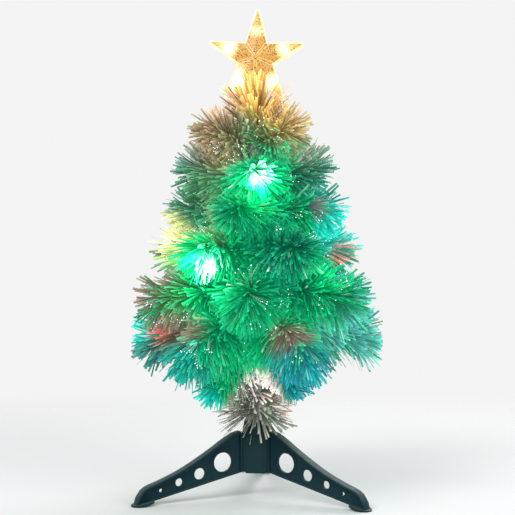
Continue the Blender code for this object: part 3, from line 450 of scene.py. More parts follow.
def makePlainPlastic(name, colour, roughness):
    look = newMaterial(name, colour, roughness)
    darker = tuple(part * 0.82 for part in colour)
    return look.shade({"Base Color": look.ramp(look.noise(40, 4), [(0.3, darker), (0.7, colour)]),
                       "Normal": look.bump(look.noise(1400, 2), 0.00005, 0.3)})


def makeTrunkTube():
    look = newMaterial("trunkTube", (0.62, 0.66, 0.64), 0.32, 0.7)
    drawn = look.noise(500, 4, (1, 1, 0.02))
    return look.shade({"Roughness": look.ramp(drawn, [(0.3, 0.24), (0.7, 0.44)])})


def makeLampLens(name, colour, strength):
    look = newMaterial(name, colour, 0.12)
    dimmer = tuple(part * 0.9 for part in colour)
    swirl = look.ramp(look.noise(300, 2), [(0.3, dimmer), (0.6, colour)])
    return look.shade({"Base Color": swirl, "Emission Color": swirl,
                       "Emission Strength": strength})


def makeCircuitBoard():
    green, copper = (0.02, 0.16, 0.07), (0.30, 0.24, 0.08)
    look = newMaterial("circuitBoard", green, 0.40)
    tracks = look.add("TexVoronoi", {"Vector": look.place(), "Scale": 420})
    return look.shade({"Base Color": look.ramp(tracks.outputs["Distance"], [
        (0.10, copper), (0.18, green)])})


def makeCoreWire():
    look = newMaterial("coreWire", (0.03, 0.16, 0.08), 0.38, 0.3)
    return look.shade({"Base Color": look.ramp(look.noise(700, 3), [
        (0.3, (0.015, 0.09, 0.05)), (0.7, (0.05, 0.24, 0.13))])})


standPlastic = makeStandPlastic()
needleFilm = makeNeedleFilm()
fibreTip = makeFibreTip()
starPlastic = makeStarPlastic()
starRim = makeStarRim()
# the notch ridges are no lamp: the lens material paints a glow of the star's lamps on them
starRidge = makeLampLens("starRidge", (1.0, 0.68, 0.25), 0.50)
trunkFilm = makeTrunkFilm()
whitePlastic = makePlainPlastic("whitePlastic", (0.78, 0.80, 0.77), 0.42)
fibreRod = makePlainPlastic("fibreRod", (0.62, 0.88, 0.80), 0.16)
trunkTube = makeTrunkTube()
starLamp = makeLampLens("starLampLens", (1.0, 0.94, 0.70), 3.0)
branchLamp = makeLampLens("branchLampLens", (0.16, 0.95, 0.52), 0.85)
circuitBoard = makeCircuitBoard()
coreWire = makeCoreWire()
print("materials made")

# the core's length and its slopes at the root and the tip are those of the CAD's tiers,
# and strips at the front and back of a tier with a hang are longer below
tierKeys = ("core", "slopes", "needle", "strips", "droop", "hang")
tierForms = {
    "tier_1": (0.0559, (-4, -36), 0.042, 460, 0.10, 0),
    "tier_2": (0.1190, (6, -24), 0.062, 900, 0.42, 0.30),
    "tier_3": (0.1131, (6, -15), 0.062, 880, 0.20, 0),
    "tier_4": (0.0857, (10, -6), 0.058, 740, 0.13, 0),
    "tier_5": (0.0714, (12, 1), 0.056, 660, 0.12, 0),
    "tier_6": (0.0524, (12, 4), 0.054, 560, 0.10, 0),
    "tier_7": (0.0405, (27, 24), 0.050, 520, 0.20, 0),
}

branches = {}
for joint in frame["joints"]:
    if joint["name"].endswith("_fold"):
        name = joint["name"][:-len("_fold")]
        axis = joint["axis"]
        branches[name] = {
            "root": Vector(joint["pos_m"]),
            "azimuth": math.atan2(axis[0], -axis[1]),
            **dict(zip(tierKeys, tierForms[name.split("_branch")[0]])),
        }

# no two branches were bent alike by hand
handBent = {
    "tier_1_branch_4": {"droop": -0.42, "hang": -0.60},
    "tier_2_branch_1": {"droop": -0.30, "hang": 0.60},
    "tier_2_branch_4": {"droop": 0.26},
    "tier_2_branch_6": {"droop": 0.36, "hang": 0.24},
    "tier_3_branch_1": {"droop": 0.02, "needle": 0.068},
    "tier_3_branch_3": {"droop": 0.34},
    "tier_3_branch_4": {"droop": 0.36},
    "tier_3_branch_6": {"droop": 0.04, "needle": 0.068},
    "tier_4_branch_5": {"needle": 0.072, "droop": 0.0},
    "tier_5_branch_1": {"droop": 0.66, "needle": 0.053},
    "tier_6_branch_2": {"droop": -0.01, "needle": 0.056},
    "tier_6_branch_4": {"droop": -0.14, "needle": 0.061},
    "tier_7_branch_1": {"droop": 0.30},
    "tier_7_branch_3": {"droop": 0.48},
}
for name, changes in handBent.items():
    branches[name].update(changes)


def corePlace(branch, distance):
    # place, direction, sideways and upward at a distance along the branch's core
    first, last = [math.radians(slope) for slope in branch["slopes"]]
    bend = (last - first) / branch["core"]
    inside = min(max(distance, 0.0), branch["core"])
    slope = first + bend * inside
    beyond = distance - inside
    reach = (math.sin(slope) - math.sin(first)) / bend + beyond * math.cos(slope)
    rise = (math.cos(first) - math.cos(slope)) / bend + beyond * math.sin(slope)
    out = Vector((math.cos(branch["azimuth"]), math.sin(branch["azimuth"]), 0))
    up = Vector((0, 0, 1))
    place = branch["root"] + out * reach + up * rise
    along = out * math.cos(slope) + up * math.sin(slope)
    side = Vector((-out.y, out.x, 0))
    over = up * math.cos(slope) - out * math.sin(slope)
    return place, along, side, over


# the colours that the lamps give the film, and where each one falls: x, distance from the
# middle plane, z and reach in millimetres, weight and glow. The same light falls behind.
filmLight = {
    "deepGreen": ((0.002, 0.230, 0.100), (-15, 85, 345, 36, 0.8, 0.6)),
    "leafGreen": ((0.004, 0.370, 0.150), (0, 60, 330, 105, 0.5, 0.8), (0, 85, 240, 100, 0.5, 0.8),
        (0, 50, 410, 62, 0.8, 1), (-60, 70, 285, 55, 0.8, 1.1), (-130, 10, 310, 26, 2, 0.8),
        (-20, 80, 155, 40, 2, 0.9)),
    "brightGreen": ((0.006, 0.780, 0.260), (90, 80, 290, 26, 1.1, 0.8)),
    "seaGreen": ((0.006, 0.230, 0.150), (45, 85, 315, 50, 1.2, 0.5),
        (-100, 10, 372, 30, 1.6, 0.5)),
    "teal": ((0.008, 0.310, 0.240), (100, 0, 390, 34, 2, 0.6), (140, 0, 275, 40, 3, 0.9),
        (-98, 40, 160, 36, 4, 0.7), (-92, 105, 166, 40, 5, 0.7)),
    "cyan": ((0.008, 0.500, 0.410), (118, 0, 350, 34, 10, 1), (-160, 0, 216, 25, 6, 0.9),
        (-56, 50, 127, 16, 6, 0.9)),
    "blueTeal": ((0.010, 0.230, 0.260), (-70, 60, 170, 20, 3, 0.9), (66, 40, 160, 29, 4, 1),
        (62, 100, 166, 34, 9, 1)),
    "greyTeal": ((0.050, 0.245, 0.160), (-88, 0, 425, 34, 2, 0.4), (90, 10, 425, 38, 2, 0.5),
        (104, 10, 166, 30, 4, 0.4)),
    "paleTeal": ((0.090, 0.460, 0.370), (128, 20, 212, 44, 5, 0.8)),
    "olive": ((0.110, 0.285, 0.125), (0, 20, 468, 36, 1.6, 0.5), (-80, 30, 395, 34, 2.5, 0.6),
        (75, 40, 440, 20, 2, 0.5), (-104, 60, 262, 26, 2.5, 0.7)),
    "tan": ((0.330, 0.250, 0.140), (-50, 20, 472, 44, 3, 0.6), (-40, 50, 440, 24, 2, 0.6),
        (-55, 60, 345, 24, 1.8, 0.5)),
    "gold": ((0.780, 0.460, 0.120), (30, 30, 490, 30, 1.6, 0.5), (5, 12, 528, 36, 6, 1.1)),
    "paleGold": ((0.480, 0.370, 0.180), (52, 15, 490, 40, 3, 0.7)),
    "roseGold": ((0.800, 0.560, 0.400), (-45, 12, 512, 24, 4, 1), (40, 20, 114, 16, 5, 0.3)),
    "silver": ((0.360, 0.420, 0.360), (72, 10, 452, 22, 3, 0.5), (-82, 10, 448, 20, 2, 0.4),
        (-146, 30, 252, 24, 3, 0.4)),
    "steelTeal": ((0.045, 0.230, 0.200), (-148, 0, 178, 26, 4, 0.6), (-135, 0, 150, 28, 3, 0.5)),
    "paleYellow": ((0.860, 0.840, 0.360), (-120, 0, 338, 32, 6, 0.8)),
    "rose": ((0.640, 0.170, 0.130), (123, 0, 315, 19, 30, 0.9), (-126, 30, 228, 22, 3, 0.7)),
    "clay": ((0.250, 0.190, 0.140), (-130, 45, 278, 34, 4, 0.6), (-108, 50, 203, 28, 4, 0.5),
        (163, 0, 224, 14, 6, 0.8)),
    "rosyClay": ((0.360, 0.235, 0.180), (-84, 90, 214, 26, 3, 0.5), (52, 96, 204, 23, 6, 0.8),
        (36, 30, 134, 15, 9, 0.6)),
    "beige": ((0.460, 0.430, 0.290), (-38, 20, 118, 20, 8, 0.5)),
    "lilac": ((0.330, 0.290, 0.310), (86, 20, 376, 12, 6, 0.8)),
    "greyFilm": ((0.340, 0.355, 0.295), (0, 0, 95, 44, 20, 0.4)),
    "pinkWhite": ((0.850, 0.720, 0.700), (10, 50, 142, 21, 9, 1)),
}

# the two lamps that shine straight out of their branch ends: how far they burn, and where
# their light falls on the strips before them
nakedLamps = {
    "lamp_tier_6_branch_1": (1.2, (0.013, -0.024, -0.012), (0.004, -0.014)),
    "lamp_tier_4_branch_1": (1.45, (0.014, -0.024, -0.034), (-0.016, 0.004)),
}
lampHalos = [  # reach, share of the lamp's own shift, colour, glow
    (0.032, 1.0, (0.004, 0.760, 0.190), 1.1),
    (0.0205, 0.5, (0.010, 0.900, 0.620), 1.8),
    (0.0135, 0.0, (0.900, 1.000, 1.000), 3.8),
]
lampCentres = [
    (sum(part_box(node), Vector()) / 2 + Vector(offset), size, Vector((shift[0], 0, shift[1])))
    for node, (size, offset, shift) in nakedLamps.items()
]


def filmTint(points):
    # red, green, blue and glow at each of the points
    folded = points.copy()
    folded[:, 1] = np.abs(folded[:, 1])
    # film that no lamp reaches is deep green
    weights = np.full((len(points), 1), 0.02)
    found = weights * (*filmLight["deepGreen"][0], 0.3)
    for colour, *spots in filmLight.values():
        for x, y, z, reach, weight, glow in spots:
            gap = np.linalg.norm(folded - np.array((x, y, z)) / 1000, axis=1)[:, None]
            share = weight * np.exp(-(gap / (reach / 1000)) ** 4)
            weights = weights + share
            found = found + share * (*colour, glow)
    tint = found / weights
    for centre, size, shift in lampCentres:
        for reach, moved, colour, glow in lampHalos:
            gap = np.linalg.norm(points - tuple(centre + shift * moved), axis=1)[:, None]
            share = np.clip(1.15 * np.exp(-(gap / (reach * size)) ** 3), 0, 1)
            tint = tint * (1 - share) + share * (*colour, glow)
    return tint


stripForm = {
    "length": 0.045,
    "width": 0.0022,
    "thickness": 0.00014,
    "bends": (8, 18, 30, -14),
    "twists": (8, -14, 20, -6),
    "steps": 4,
    "rootShade": 0.60,
    "endGain": 0.55,
    "glintReach": 0.14,
    "glintTint": (0.80, 1.0, 0.93, 1.0),
}


def makeStrip(number):
    # one strip of film: a long thin sheet stood on edge, curled, twisted and given a wall
    strip = added(bpy.ops.mesh.primitive_grid_add, x_subdivisions=stripForm["steps"],
                  y_subdivisions=1, size=1, rotation=(math.pi / 2, 0, 0))
    strip.scale = (stripForm["length"], stripForm["width"], 1)
    applyPlace(strip)
    for method, axis, angles in (("BEND", "Z", "bends"), ("TWIST", "X", "twists")):
        change = strip.modifiers.new(angles, "SIMPLE_DEFORM")
        change.deform_method = method
        change.deform_axis = axis
        change.angle = math.radians(stripForm[angles][number])
    thicken(strip, stripForm["thickness"])
    strip.data.transform(Matrix.Rotation(-math.pi / 2, 4, "X"))
    # its root goes to the origin and its end to the +X axis
    ends = sorted(strip.data.vertices, key=lambda vertex: vertex.co.x)
    root = sum((vertex.co for vertex in ends[:4]), Vector()) / 4
    end = sum((vertex.co for vertex in ends[-4:]), Vector()) / 4
    lean = math.atan2(end.z - root.z, end.x - root.x)
    strip.data.transform(Matrix.Rotation(lean, 4, "Y") @ Matrix.Translation(-root))
    return takeShape(strip)


def takeShape(obj):
    # the modelled shape as points and faces, ready to be copied many times
    points = np.array([tuple(vertex.co) for vertex in obj.data.vertices])
    faces = [tuple(face.vertices) for face in obj.data.polygons]
    discard(obj)
    return {"points": points, "faces": faces,
            "along": np.clip(points[:, :1] / stripForm["length"], 0, 1)}


class ShapeCopies:
    # gathers placed copies of modelled shapes into one piece with its own mesh

    def __init__(self):
        self.points, self.faces, self.shades, self.along, self.whites = [], [], [], [], []
        self.count = 0

    def add(self, shape, matrix, shade=(1, 1, 1, 1), glint=(0, 0)):
        # a glint is how white the copy gets, and how far along it
        turn = np.array(matrix.to_3x3())
        self.points.append(shape["points"] @ turn.T + np.array(matrix.translation))
        self.faces.extend(tuple(n + self.count for n in face) for face in shape["faces"])
        self.shades.append(np.tile(shade, (len(shape["points"]), 1)))
        self.along.append(shape["along"])
        white, middle = glint
        away = (shape["along"] - middle) / stripForm["glintReach"]
        self.whites.append(white * np.exp(-away ** 2))
        self.count += len(shape["points"])

    def build(self, name, material, tintMaker, smooth=True):
        mesh = bpy.data.meshes.new(name)
        points = np.vstack(self.points)
        mesh.from_pydata(points.tolist(), [], self.faces)
        tint = tintMaker(points) * np.vstack(self.shades)
        if smooth:
            along = np.vstack(self.along)
            # roots are in the dark, and cut ends pass the light on
            dark = stripForm["rootShade"]
            tint *= dark + (1 - dark) * along ** 0.8
            tint[:, :3] *= 1 + stripForm["endGain"] * along ** 12
            white = np.vstack(self.whites)
            tint = tint * (1 - white) + white * stripForm["glintTint"]
            mesh.shade_smooth()
        attribute = mesh.color_attributes.new("tint", "FLOAT_COLOR", "POINT")
        attribute.data.foreach_set("color", tint.astype(np.float32).ravel())
        mesh.materials.append(material)
        obj = bpy.data.objects.new(name, mesh)
        bpy.context.scene.collection.objects.link(obj)
        return obj


filmStrips = [makeStrip(number) for number in range(len(stripForm["bends"]))]
print("film strips modelled")

brushForm = {
    "bareShare": 0.04,
    "rootShare": 0.08,
    "rootLeans": (55, 95),
    "rootLean": 76,
    "tipLean": 34,
    "tipShare": 0.18,
    "tipLeans": (0, 62),
    "leanLoose": 3.4,
    "turnLoose": 0.075,
    "rollLoose": 9,
    "layers": 16,
    "layerChange": 0.1,
    "pitch": 0.090,
    "layerSway": 7,
    "frontSag": 0.62,
    "frontLean": 8,
    "topTrim": 0.42,
    "hangBelow": -0.4,
    "flatShare": 0.72,
    "flatLoss": 0.45,
    "facingRolls": (18, 74),
    "reachLimit": 0.1660,
    "lengths": (0.70, 1.12),
    "endLoss": 0.18,
    "widths": (0.72, 1.45),
    "shades": (0.64, 1.38),
    "glints": 0.04,
}


def layAlong(place, direction, wide, length=1.0, width=1.0):
    # lays a shape's +X along a direction and its +Y as near as it can to another one
    along = direction.normalized()
    normal = along.cross(wide).normalized()
    across = normal.cross(along)
    matrix = Matrix((along * length, across * width, normal)).transposed().to_4x4()
    matrix.translation = place
    return matrix


def keepInside(place, direction, length):
    # a strip that would reach out of the tree's outline is cut shorter
    for _ in range(10):
        end = place + direction * length
        if math.hypot(end.x, end.y) <= brushForm["reachLimit"]:
            break
        length *= 0.93
    return length


def leanOut(along, side, over, turn, lean):
    # a direction that leans off the core, and the way out of the core that it leans to
    out = side * math.cos(turn) + over * math.sin(turn)
    return along * math.cos(lean) + out * math.sin(lean), out


def stripShade(chance, low, high):
    # strips differ in brightness, a little in hue, and in how strongly they glow
    bright = chance.uniform(low, high)
    return [bright * chance.uniform(0.88, 1.12) for _ in range(3)] + [chance.uniform(0.7, 1.3)]


def stripGlint(chance):
    if chance.random() > brushForm["glints"]:
        return 0, 0
    return chance.uniform(0.3, 0.9), chance.uniform(0.35, 1.0)


def makeBrush(name, branch):
    # the film's layers wind slowly round the core, and strips of one layer lie side by side
    chance = random.Random("brush " + name)
    copies = ShapeCopies()
    layers, bare = brushForm["layers"], brushForm["bareShare"]
    tip, root = brushForm["tipLean"], brushForm["rootLean"]
    perLayer = branch["strips"] // layers
    phases = [chance.uniform(0, 2 * math.pi) for _ in range(layers)]
    shapes = [chance.choice(filmStrips) for _ in range(layers)]
    facing = abs(math.sin(branch["azimuth"])) ** 3
    # a layer lies with its strips' width along the core or across it
    flat, steep = brushForm["facingRolls"]
    flatShare = brushForm["flatShare"] - brushForm["flatLoss"] * facing
    rolls = [flat if chance.random() < flatShare else steep for _ in range(layers)]
    for n in range(perLayer * layers):
        layer, step = n % layers, n // layers
        share = (step + chance.uniform(0, 0.9)) / perLayer
        distance = branch["core"] * (bare + (1 - bare) * share)
        place, along, side, over = corePlace(branch, distance)
        turn = 2 * math.pi * (layer / layers + distance / brushForm["pitch"])
        turn += chance.gauss(0, brushForm["turnLoose"])
        sway = brushForm["layerSway"] * math.sin(phases[layer] + 9 * share)
        lean = tip + (root - tip) * (1 - share) ** 1.5 + sway + brushForm["frontLean"] * facing
        if share > 1 - brushForm["tipShare"]:
            lean = chance.uniform(*brushForm["tipLeans"])
            turn = chance.uniform(0, 2 * math.pi)
        elif share < brushForm["rootShare"]:
            lean = chance.uniform(*brushForm["rootLeans"])
        lean = math.radians(lean + chance.gauss(0, brushForm["leanLoose"]))
        direction, out = leanOut(along, side, over, turn, lean)
        # branches at the front and the back hang more than those at the sides
        direction.z -= branch["droop"] * (1 - 0.5 * share)
        direction.z -= brushForm["frontSag"] * facing * (0.4 + share)
        direction.normalize()
        length = branch["needle"] * chance.uniform(*brushForm["lengths"])
        length *= 1 - brushForm["endLoss"] * share
        if direction.z < brushForm["hangBelow"]:
            length *= 1 + branch["hang"] * max(facing, 1 - 1.6 * share)
        elif direction.z > 0 and not name.startswith("tier_7"):
            length *= 1 - brushForm["topTrim"] * facing * min(1, 1.8 * direction.z)
        length = keepInside(place, direction, length)
        tangent = along.cross(out).normalized()
        roll = math.radians(rolls[layer] + chance.gauss(0, brushForm["rollLoose"]))
        wide = along * math.cos(roll) + tangent * math.sin(roll)
        if chance.random() < brushForm["layerChange"]:
            shapes[layer] = chance.choice(filmStrips)
        strip = layAlong(place, direction, wide, length / stripForm["length"],
                         chance.uniform(*brushForm["widths"]))
        shade = stripShade(chance, *brushForm["shades"])
        copies.add(shapes[layer], strip, shade, stripGlint(chance))
    brush = copies.build("needles_" + name, needleFilm, filmTint)
    declare(brush, name, "needle_film", name)


coreForm = {"radius": 0.00085, "pitch": 0.011, "stepsPerTurn": 7, "stub": 0.0012}


def makeCore(name, branch):
    # two wires twisted round each other, that hold the strips
    length = branch["core"] + coreForm["stub"]
    steps = int(coreForm["stepsPerTurn"] * length / coreForm["pitch"])
    wires = []
    for start in (0, math.pi):
        spots = []
        for step in range(steps + 1):
            distance = length * step / steps - coreForm["stub"]
            place, _, side, over = corePlace(branch, distance)
            turn = start + 2 * math.pi * distance / coreForm["pitch"]
            offset = side * math.cos(turn) + over * math.sin(turn)
            spots.append(place + offset * coreForm["radius"])
        wires.append(spots)
    core = makeRods("core_" + name, coreForm["radius"], 1, wires)
    dress(core, coreWire)
    smoothByAngle(core)
    declare(core, name, "needle_film")


fibreForm = {"groups": 46, "perGroup": 6, "turnLoose": 0.22, "leanLoose": 4,
             "lengths": (0.72, 0.95), "thickness": 0.0003, "tip": 0.00055, "tips": (0.55, 1.25),
             "stalkShade": (0.35, 0.90, 0.62, 0.30), "endShade": (1, 1, 1, 3.4)}


def makeFibreStalk():
    # a thin three-sided rod of unit length that narrows to its cut end
    stalk = added(bpy.ops.mesh.primitive_cone_add, vertices=3, radius1=0.6, radius2=0.4,
                  depth=1, location=(0.5, 0, 0), rotation=(0, math.pi / 2, 0))
    applyPlace(stalk)
    return takeShape(stalk)


def makeFibreEnd():
    # the melted bead on a fibre's end: a ball with its front pulled out a little
    bead = added(bpy.ops.mesh.primitive_ico_sphere_add, subdivisions=1, radius=1)
    for vertex in bead.data.vertices:
        if vertex.co.x > 0.5:
            vertex.co.x *= 1.35
    return takeShape(bead)


fibreStalk = makeFibreStalk()
fibreEnd = makeFibreEnd()


def fibreTint(points):
    # clear fibres take less than half of the film's colour, and the rest is white
    tint = filmTint(points)
    tint[:, :3] = 0.55 + 0.45 * np.clip(tint[:, :3], 0, 1)
    tint[:, 3] = 1
    return tint


def makeFibres(name, branch):
    chance = random.Random("fibres " + name)
    copies = ShapeCopies()
    # fibres leave the core in small bunches, and end among the strips' ends
    for n in range(int(fibreForm["groups"] * branch["core"] + 1) * fibreForm["perGroup"]):
        if n % fibreForm["perGroup"] == 0:
            share = chance.uniform(0.15, 1)
            middle = chance.uniform(0, 2 * math.pi)
            tilt = brushForm["tipLean"] + 20 * (1 - share)
        place, along, side, over = corePlace(branch, branch["core"] * share)
        turn = middle + chance.gauss(0, fibreForm["turnLoose"])
        lean = math.radians(tilt + chance.gauss(0, fibreForm["leanLoose"]))
        direction, out = leanOut(along, side, over, turn, lean)
        direction.z -= branch["droop"] * (0.4 + share)
        direction.normalize()
        length = branch["needle"] * (1 - brushForm["endLoss"] * share)
        length *= chance.uniform(*fibreForm["lengths"])
        length = keepInside(place, direction, length)
        thin = fibreForm["thickness"]
        wide = direction.cross(out + Vector((0.1, 0.2, 0.3)))
        stalk = layAlong(place, direction, wide) @ Matrix.Diagonal((length, thin, thin, 1))
        copies.add(fibreStalk, stalk, fibreForm["stalkShade"])
        size = fibreForm["tip"] * chance.uniform(*fibreForm["tips"])
        end = layAlong(place + direction * length, direction, wide)
        copies.add(fibreEnd, end @ Matrix.Diagonal((size, size, size, 1)), fibreForm["endShade"])
    fibres = copies.build("fibres_" + name, fibreTip, fibreTint, smooth=False)
    declare(fibres, name, "optical_fibre")


for name, branch in branches.items():
    makeBrush(name, branch)
    makeCore(name, branch)
    makeFibres(name, branch)
print("branches dressed:", len(branches))

# the extra fans have a turn, a lean and a height of their own
tuftForms = {
    "lower_tuft": {
        "low": 0.106, "high": 0.137, "leans": (104, 76), "loose": 13, "fans": 34, "perFan": 9,
        "spread": 46, "ragged": 12, "needle": 0.044, "widths": (0.65, 1.35),
        "rolls": (15, 75), "shades": (0.5, 1.45),
        # a few strips hang over the stand
        "extra": ((-128, 132, 0.110), (-52, 134, 0.110), (90, 134, 0.110),
                  (-100, 116, 0.109), (-78, 112, 0.112), (-150, 118, 0.108),
                  (-30, 118, 0.108), (-165, 126, 0.113), (-15, 124, 0.113)),
    },
    "top_tuft": {
        "low": 0.474, "high": 0.5005, "leans": (72, 40), "loose": 6, "fans": 18, "perFan": 16,
        "spread": 50, "ragged": 5, "needle": 0.054, "widths": (0.75, 1.70),
        "rolls": (-15, 40), "shades": (0.30, 1.50),
        "extra": ((-70, 17, 0.500), (-90, 21, 0.500), (-108, 24, 0.500), (-150, 47, 0.500),
                  (-24, 50, 0.500), (-172, 55, 0.500), (70, 20, 0.500), (108, 26, 0.500),
                  (150, 46, 0.500), (24, 50, 0.500)),
    },
}
# both tufts stand on a sleeve, and the turn from fan to fan never lets them line up
tuftHabit = {"sleeve": 0.0094, "fanTurn": 137.5, "fanShades": (0.8, 1.2), "asideLoose": 2,
             "lengths": (0.58, 1.10), "rises": (-0.002, 0.002)}
starRoom = {"halfWidth": 0.068, "halfDepth": 0.0128, "low": 0.518}


def meetsStar(place, direction, length):
    for share in (0.3, 0.45, 0.6, 0.8, 1.0):
        spot = place + direction * length * share
        if (spot.z > starRoom["low"] and abs(spot.y) < starRoom["halfDepth"]
                and abs(spot.x) < starRoom["halfWidth"]):
            return True
    return False


def makeTuft(name, form):
    chance = random.Random("tuft " + name)
    copies = ShapeCopies()
    first, last = form["leans"]
    fans = list(form["extra"])
    for n in range(form["fans"]):
        share = n / form["fans"]
        fans.append((tuftHabit["fanTurn"] * n,
                     first + (last - first) * share + chance.gauss(0, form["loose"]),
                     form["low"] + (form["high"] - form["low"]) * share))
    for middle, lean, height in fans:
        shape = chance.choice(filmStrips)
        fanShade = chance.uniform(*tuftHabit["fanShades"])
        fanRoll = chance.uniform(*form["rolls"])
        for n in range(form["perFan"]):
            aside = form["spread"] * (n / form["perFan"] - 0.5)
            turn = math.radians(middle + (aside + chance.gauss(0, tuftHabit["asideLoose"])))
            out = Vector((math.cos(turn), math.sin(turn), 0))
            tilt = math.radians(lean + chance.gauss(0, form["ragged"]))
            direction = out * math.sin(tilt) + Vector((0, 0, math.cos(tilt)))
            length = form["needle"] * chance.uniform(*tuftHabit["lengths"])
            place = out * tuftHabit["sleeve"]
            place += Vector((0, 0, height + chance.uniform(*tuftHabit["rises"])))
            if meetsStar(place, direction, length):
                continue
            roll = math.radians(fanRoll + chance.gauss(0, brushForm["rollLoose"]))
            wide = Vector((-out.y, out.x, 0)) * math.cos(roll)
            wide += direction.cross(wide) * math.sin(roll)
            strip = layAlong(place, direction, wide, length / stripForm["length"],
                             chance.uniform(*form["widths"]))
            shade = [part * fanShade for part in stripShade(chance, *form["shades"])]
            copies.add(shape, strip, shade, stripGlint(chance))
    tuft = copies.build("needles_" + name, needleFilm, filmTint)
    declare(tuft, "trunk", "pale_film", name)


for name, form in tuftForms.items():
    makeTuft(name, form)
print("tufts made")

# a hole is x, z and radius, a rib x and its two ends
legTrim = {
    "angles": {"leg_left": 210, "leg_right": 330, "leg_back": 90},
    "web": 0.0030,
    "edge": 0.00045,
    "rimWall": 0.0011,
    "rimStands": 0.0007,
    "rimEdge": 0.0003,
    "holes": ((0.04777, 0.04610, 0.0127), (0.07990, 0.03380, 0.0075),
              (0.10778, 0.02535, 0.0052), (0.13226, 0.01727, 0.0025)),
    "ribWidth": 0.0013,
    "ribStands": 0.0006,
    "ribEdge": 0.0004,
    "ribs": ((0.0636, 0.0235, 0.0610), (0.0910, 0.0175, 0.0455), (0.1173, 0.0118, 0.0335)),
}


def makeHoleRim(x, z, radius):
    # the thin raised collar round a hole: an open tube that gets a wall
    rim = added(bpy.ops.mesh.primitive_cylinder_add, vertices=40,
                radius=radius + legTrim["rimWall"], end_fill_type="NOTHING",
                depth=legTrim["web"] + 2 * legTrim["rimStands"],
                location=(x, 0, z), rotation=(math.pi / 2, 0, 0))
    wall = rim.modifiers.new("wall", "SOLIDIFY")
    wall.thickness = legTrim["rimWall"] * 1.15
    wall.offset = -1
    roundEdges(rim, legTrim["rimEdge"])
    applyPlace(rim)
    return rim


def makeWebRib(x, low, high):
    rib = addBlock((x, 0, (low + high) / 2),
                   (legTrim["ribWidth"], legTrim["web"] + 2 * legTrim["ribStands"], high - low))
    roundEdges(rib, legTrim["ribEdge"])
    return rib


def makeLeg(node, angle):
    leg = copyNode(node, "shaped_" + node)
    roundEdges(leg, legTrim["edge"], 2, 40)
    trims = [makeHoleRim(*hole) for hole in legTrim["holes"]]
    trims += [makeWebRib(*rib) for rib in legTrim["ribs"]]
    trim = joinAll(trims, "trim_" + node)
    turnAbout(trim, angle)
    leg = joinAll([leg, trim], "shaped_" + node)
    dress(leg, standPlastic)
    smoothByAngle(leg)
    side = node.split("_")[1]
    declare(leg, side + "_leg", "stand_plastic", node)


plateForm = {"angles": (270, 30, 150), "face": 0.01559, "width": 0.0238, "low": 0.0306,
             "high": 0.0788, "stands": 0.0008, "edge": 0.0006, "inletAngle": 150,
             "inletHeight": 0.0460, "inletRadius": 0.0062}
cornerCut = {"across": 0.0150, "up": 0.0305, "size": 0.0054, "depth": 0.0080}


def makeHubPlate(angle):
    # the raised panel on a side of the hub, open round the power inlet
    plate = addBlock((0, -plateForm["face"], (plateForm["low"] + plateForm["high"]) / 2),
                     (plateForm["width"], plateForm["stands"] * 2,
                      plateForm["high"] - plateForm["low"]))
    if angle == plateForm["inletAngle"]:
        opening = added(bpy.ops.mesh.primitive_cylinder_add, vertices=32,
                        radius=plateForm["inletRadius"], depth=plateForm["width"],
                        location=(0, -plateForm["face"], plateForm["inletHeight"]),
                        rotation=(math.pi / 2, 0, 0))
        applyPlace(opening)
        cutWith(plate, opening)
    roundEdges(plate, plateForm["edge"], 3)
    turnAbout(plate, angle + 90)
    return plate


def makeCornerCutters():
    # blocks on edge, that take the lower corners off the hub's three panels
    blocks = []
    for angle in plateForm["angles"]:
        for side in (-1, 1):
            block = addBlock(
                (side * cornerCut["across"], -plateForm["face"], cornerCut["up"]),
                (cornerCut["size"], cornerCut["depth"], cornerCut["size"]), tilt=math.pi / 4)
            turnAbout(block, angle + 90)
            blocks.append(block)
    return joinAll(blocks, "cornerCutters")


def makeHub():
    hub = copyNode("stand_hub", "shaped_stand_hub")
    cutWith(hub, makeCornerCutters())
    roundEdges(hub, plateForm["edge"], 3, 40)
    plates = [makeHubPlate(angle) for angle in plateForm["angles"]]
    hub = joinAll([hub] + plates, "shaped_stand_hub")
    dress(hub, standPlastic)
    smoothByAngle(hub)
    declare(hub, "stand", "stand_plastic", "stand_hub")


for node, angle in legTrim["angles"].items():
    makeLeg(node, angle)
makeHub()
print("stand shaped")


def starOutline(inset):
    # tips and notches in turn, clockwise from the top, moved inward by an inset
    slant = math.sin(math.pi / 10)
    sharpTip = starForm["tip"] + starForm["tipRound"] * (1 / slant - 1)
    shrink = 1 - inset / slant / sharpTip
    corners = []
    for number in range(5):
        corners.append((number * fifth, sharpTip * shrink))
        corners.append((number * fifth + fifth / 2, starForm["notch"] * shrink))
    return corners


def starRing(fill):
    # a flat ten-cornered ring, and which of the star's corners each vertex belongs to
    ring = added(bpy.ops.mesh.primitive_circle_add, vertices=10, radius=1, fill_type=fill,
                 rotation=(math.pi / 2, 0, 0))
    applyPlace(ring)
    turns = [math.atan2(vertex.co.x, vertex.co.z) for vertex in ring.data.vertices]
    return ring, [round(turn / (fifth / 2)) % 10 for turn in turns]


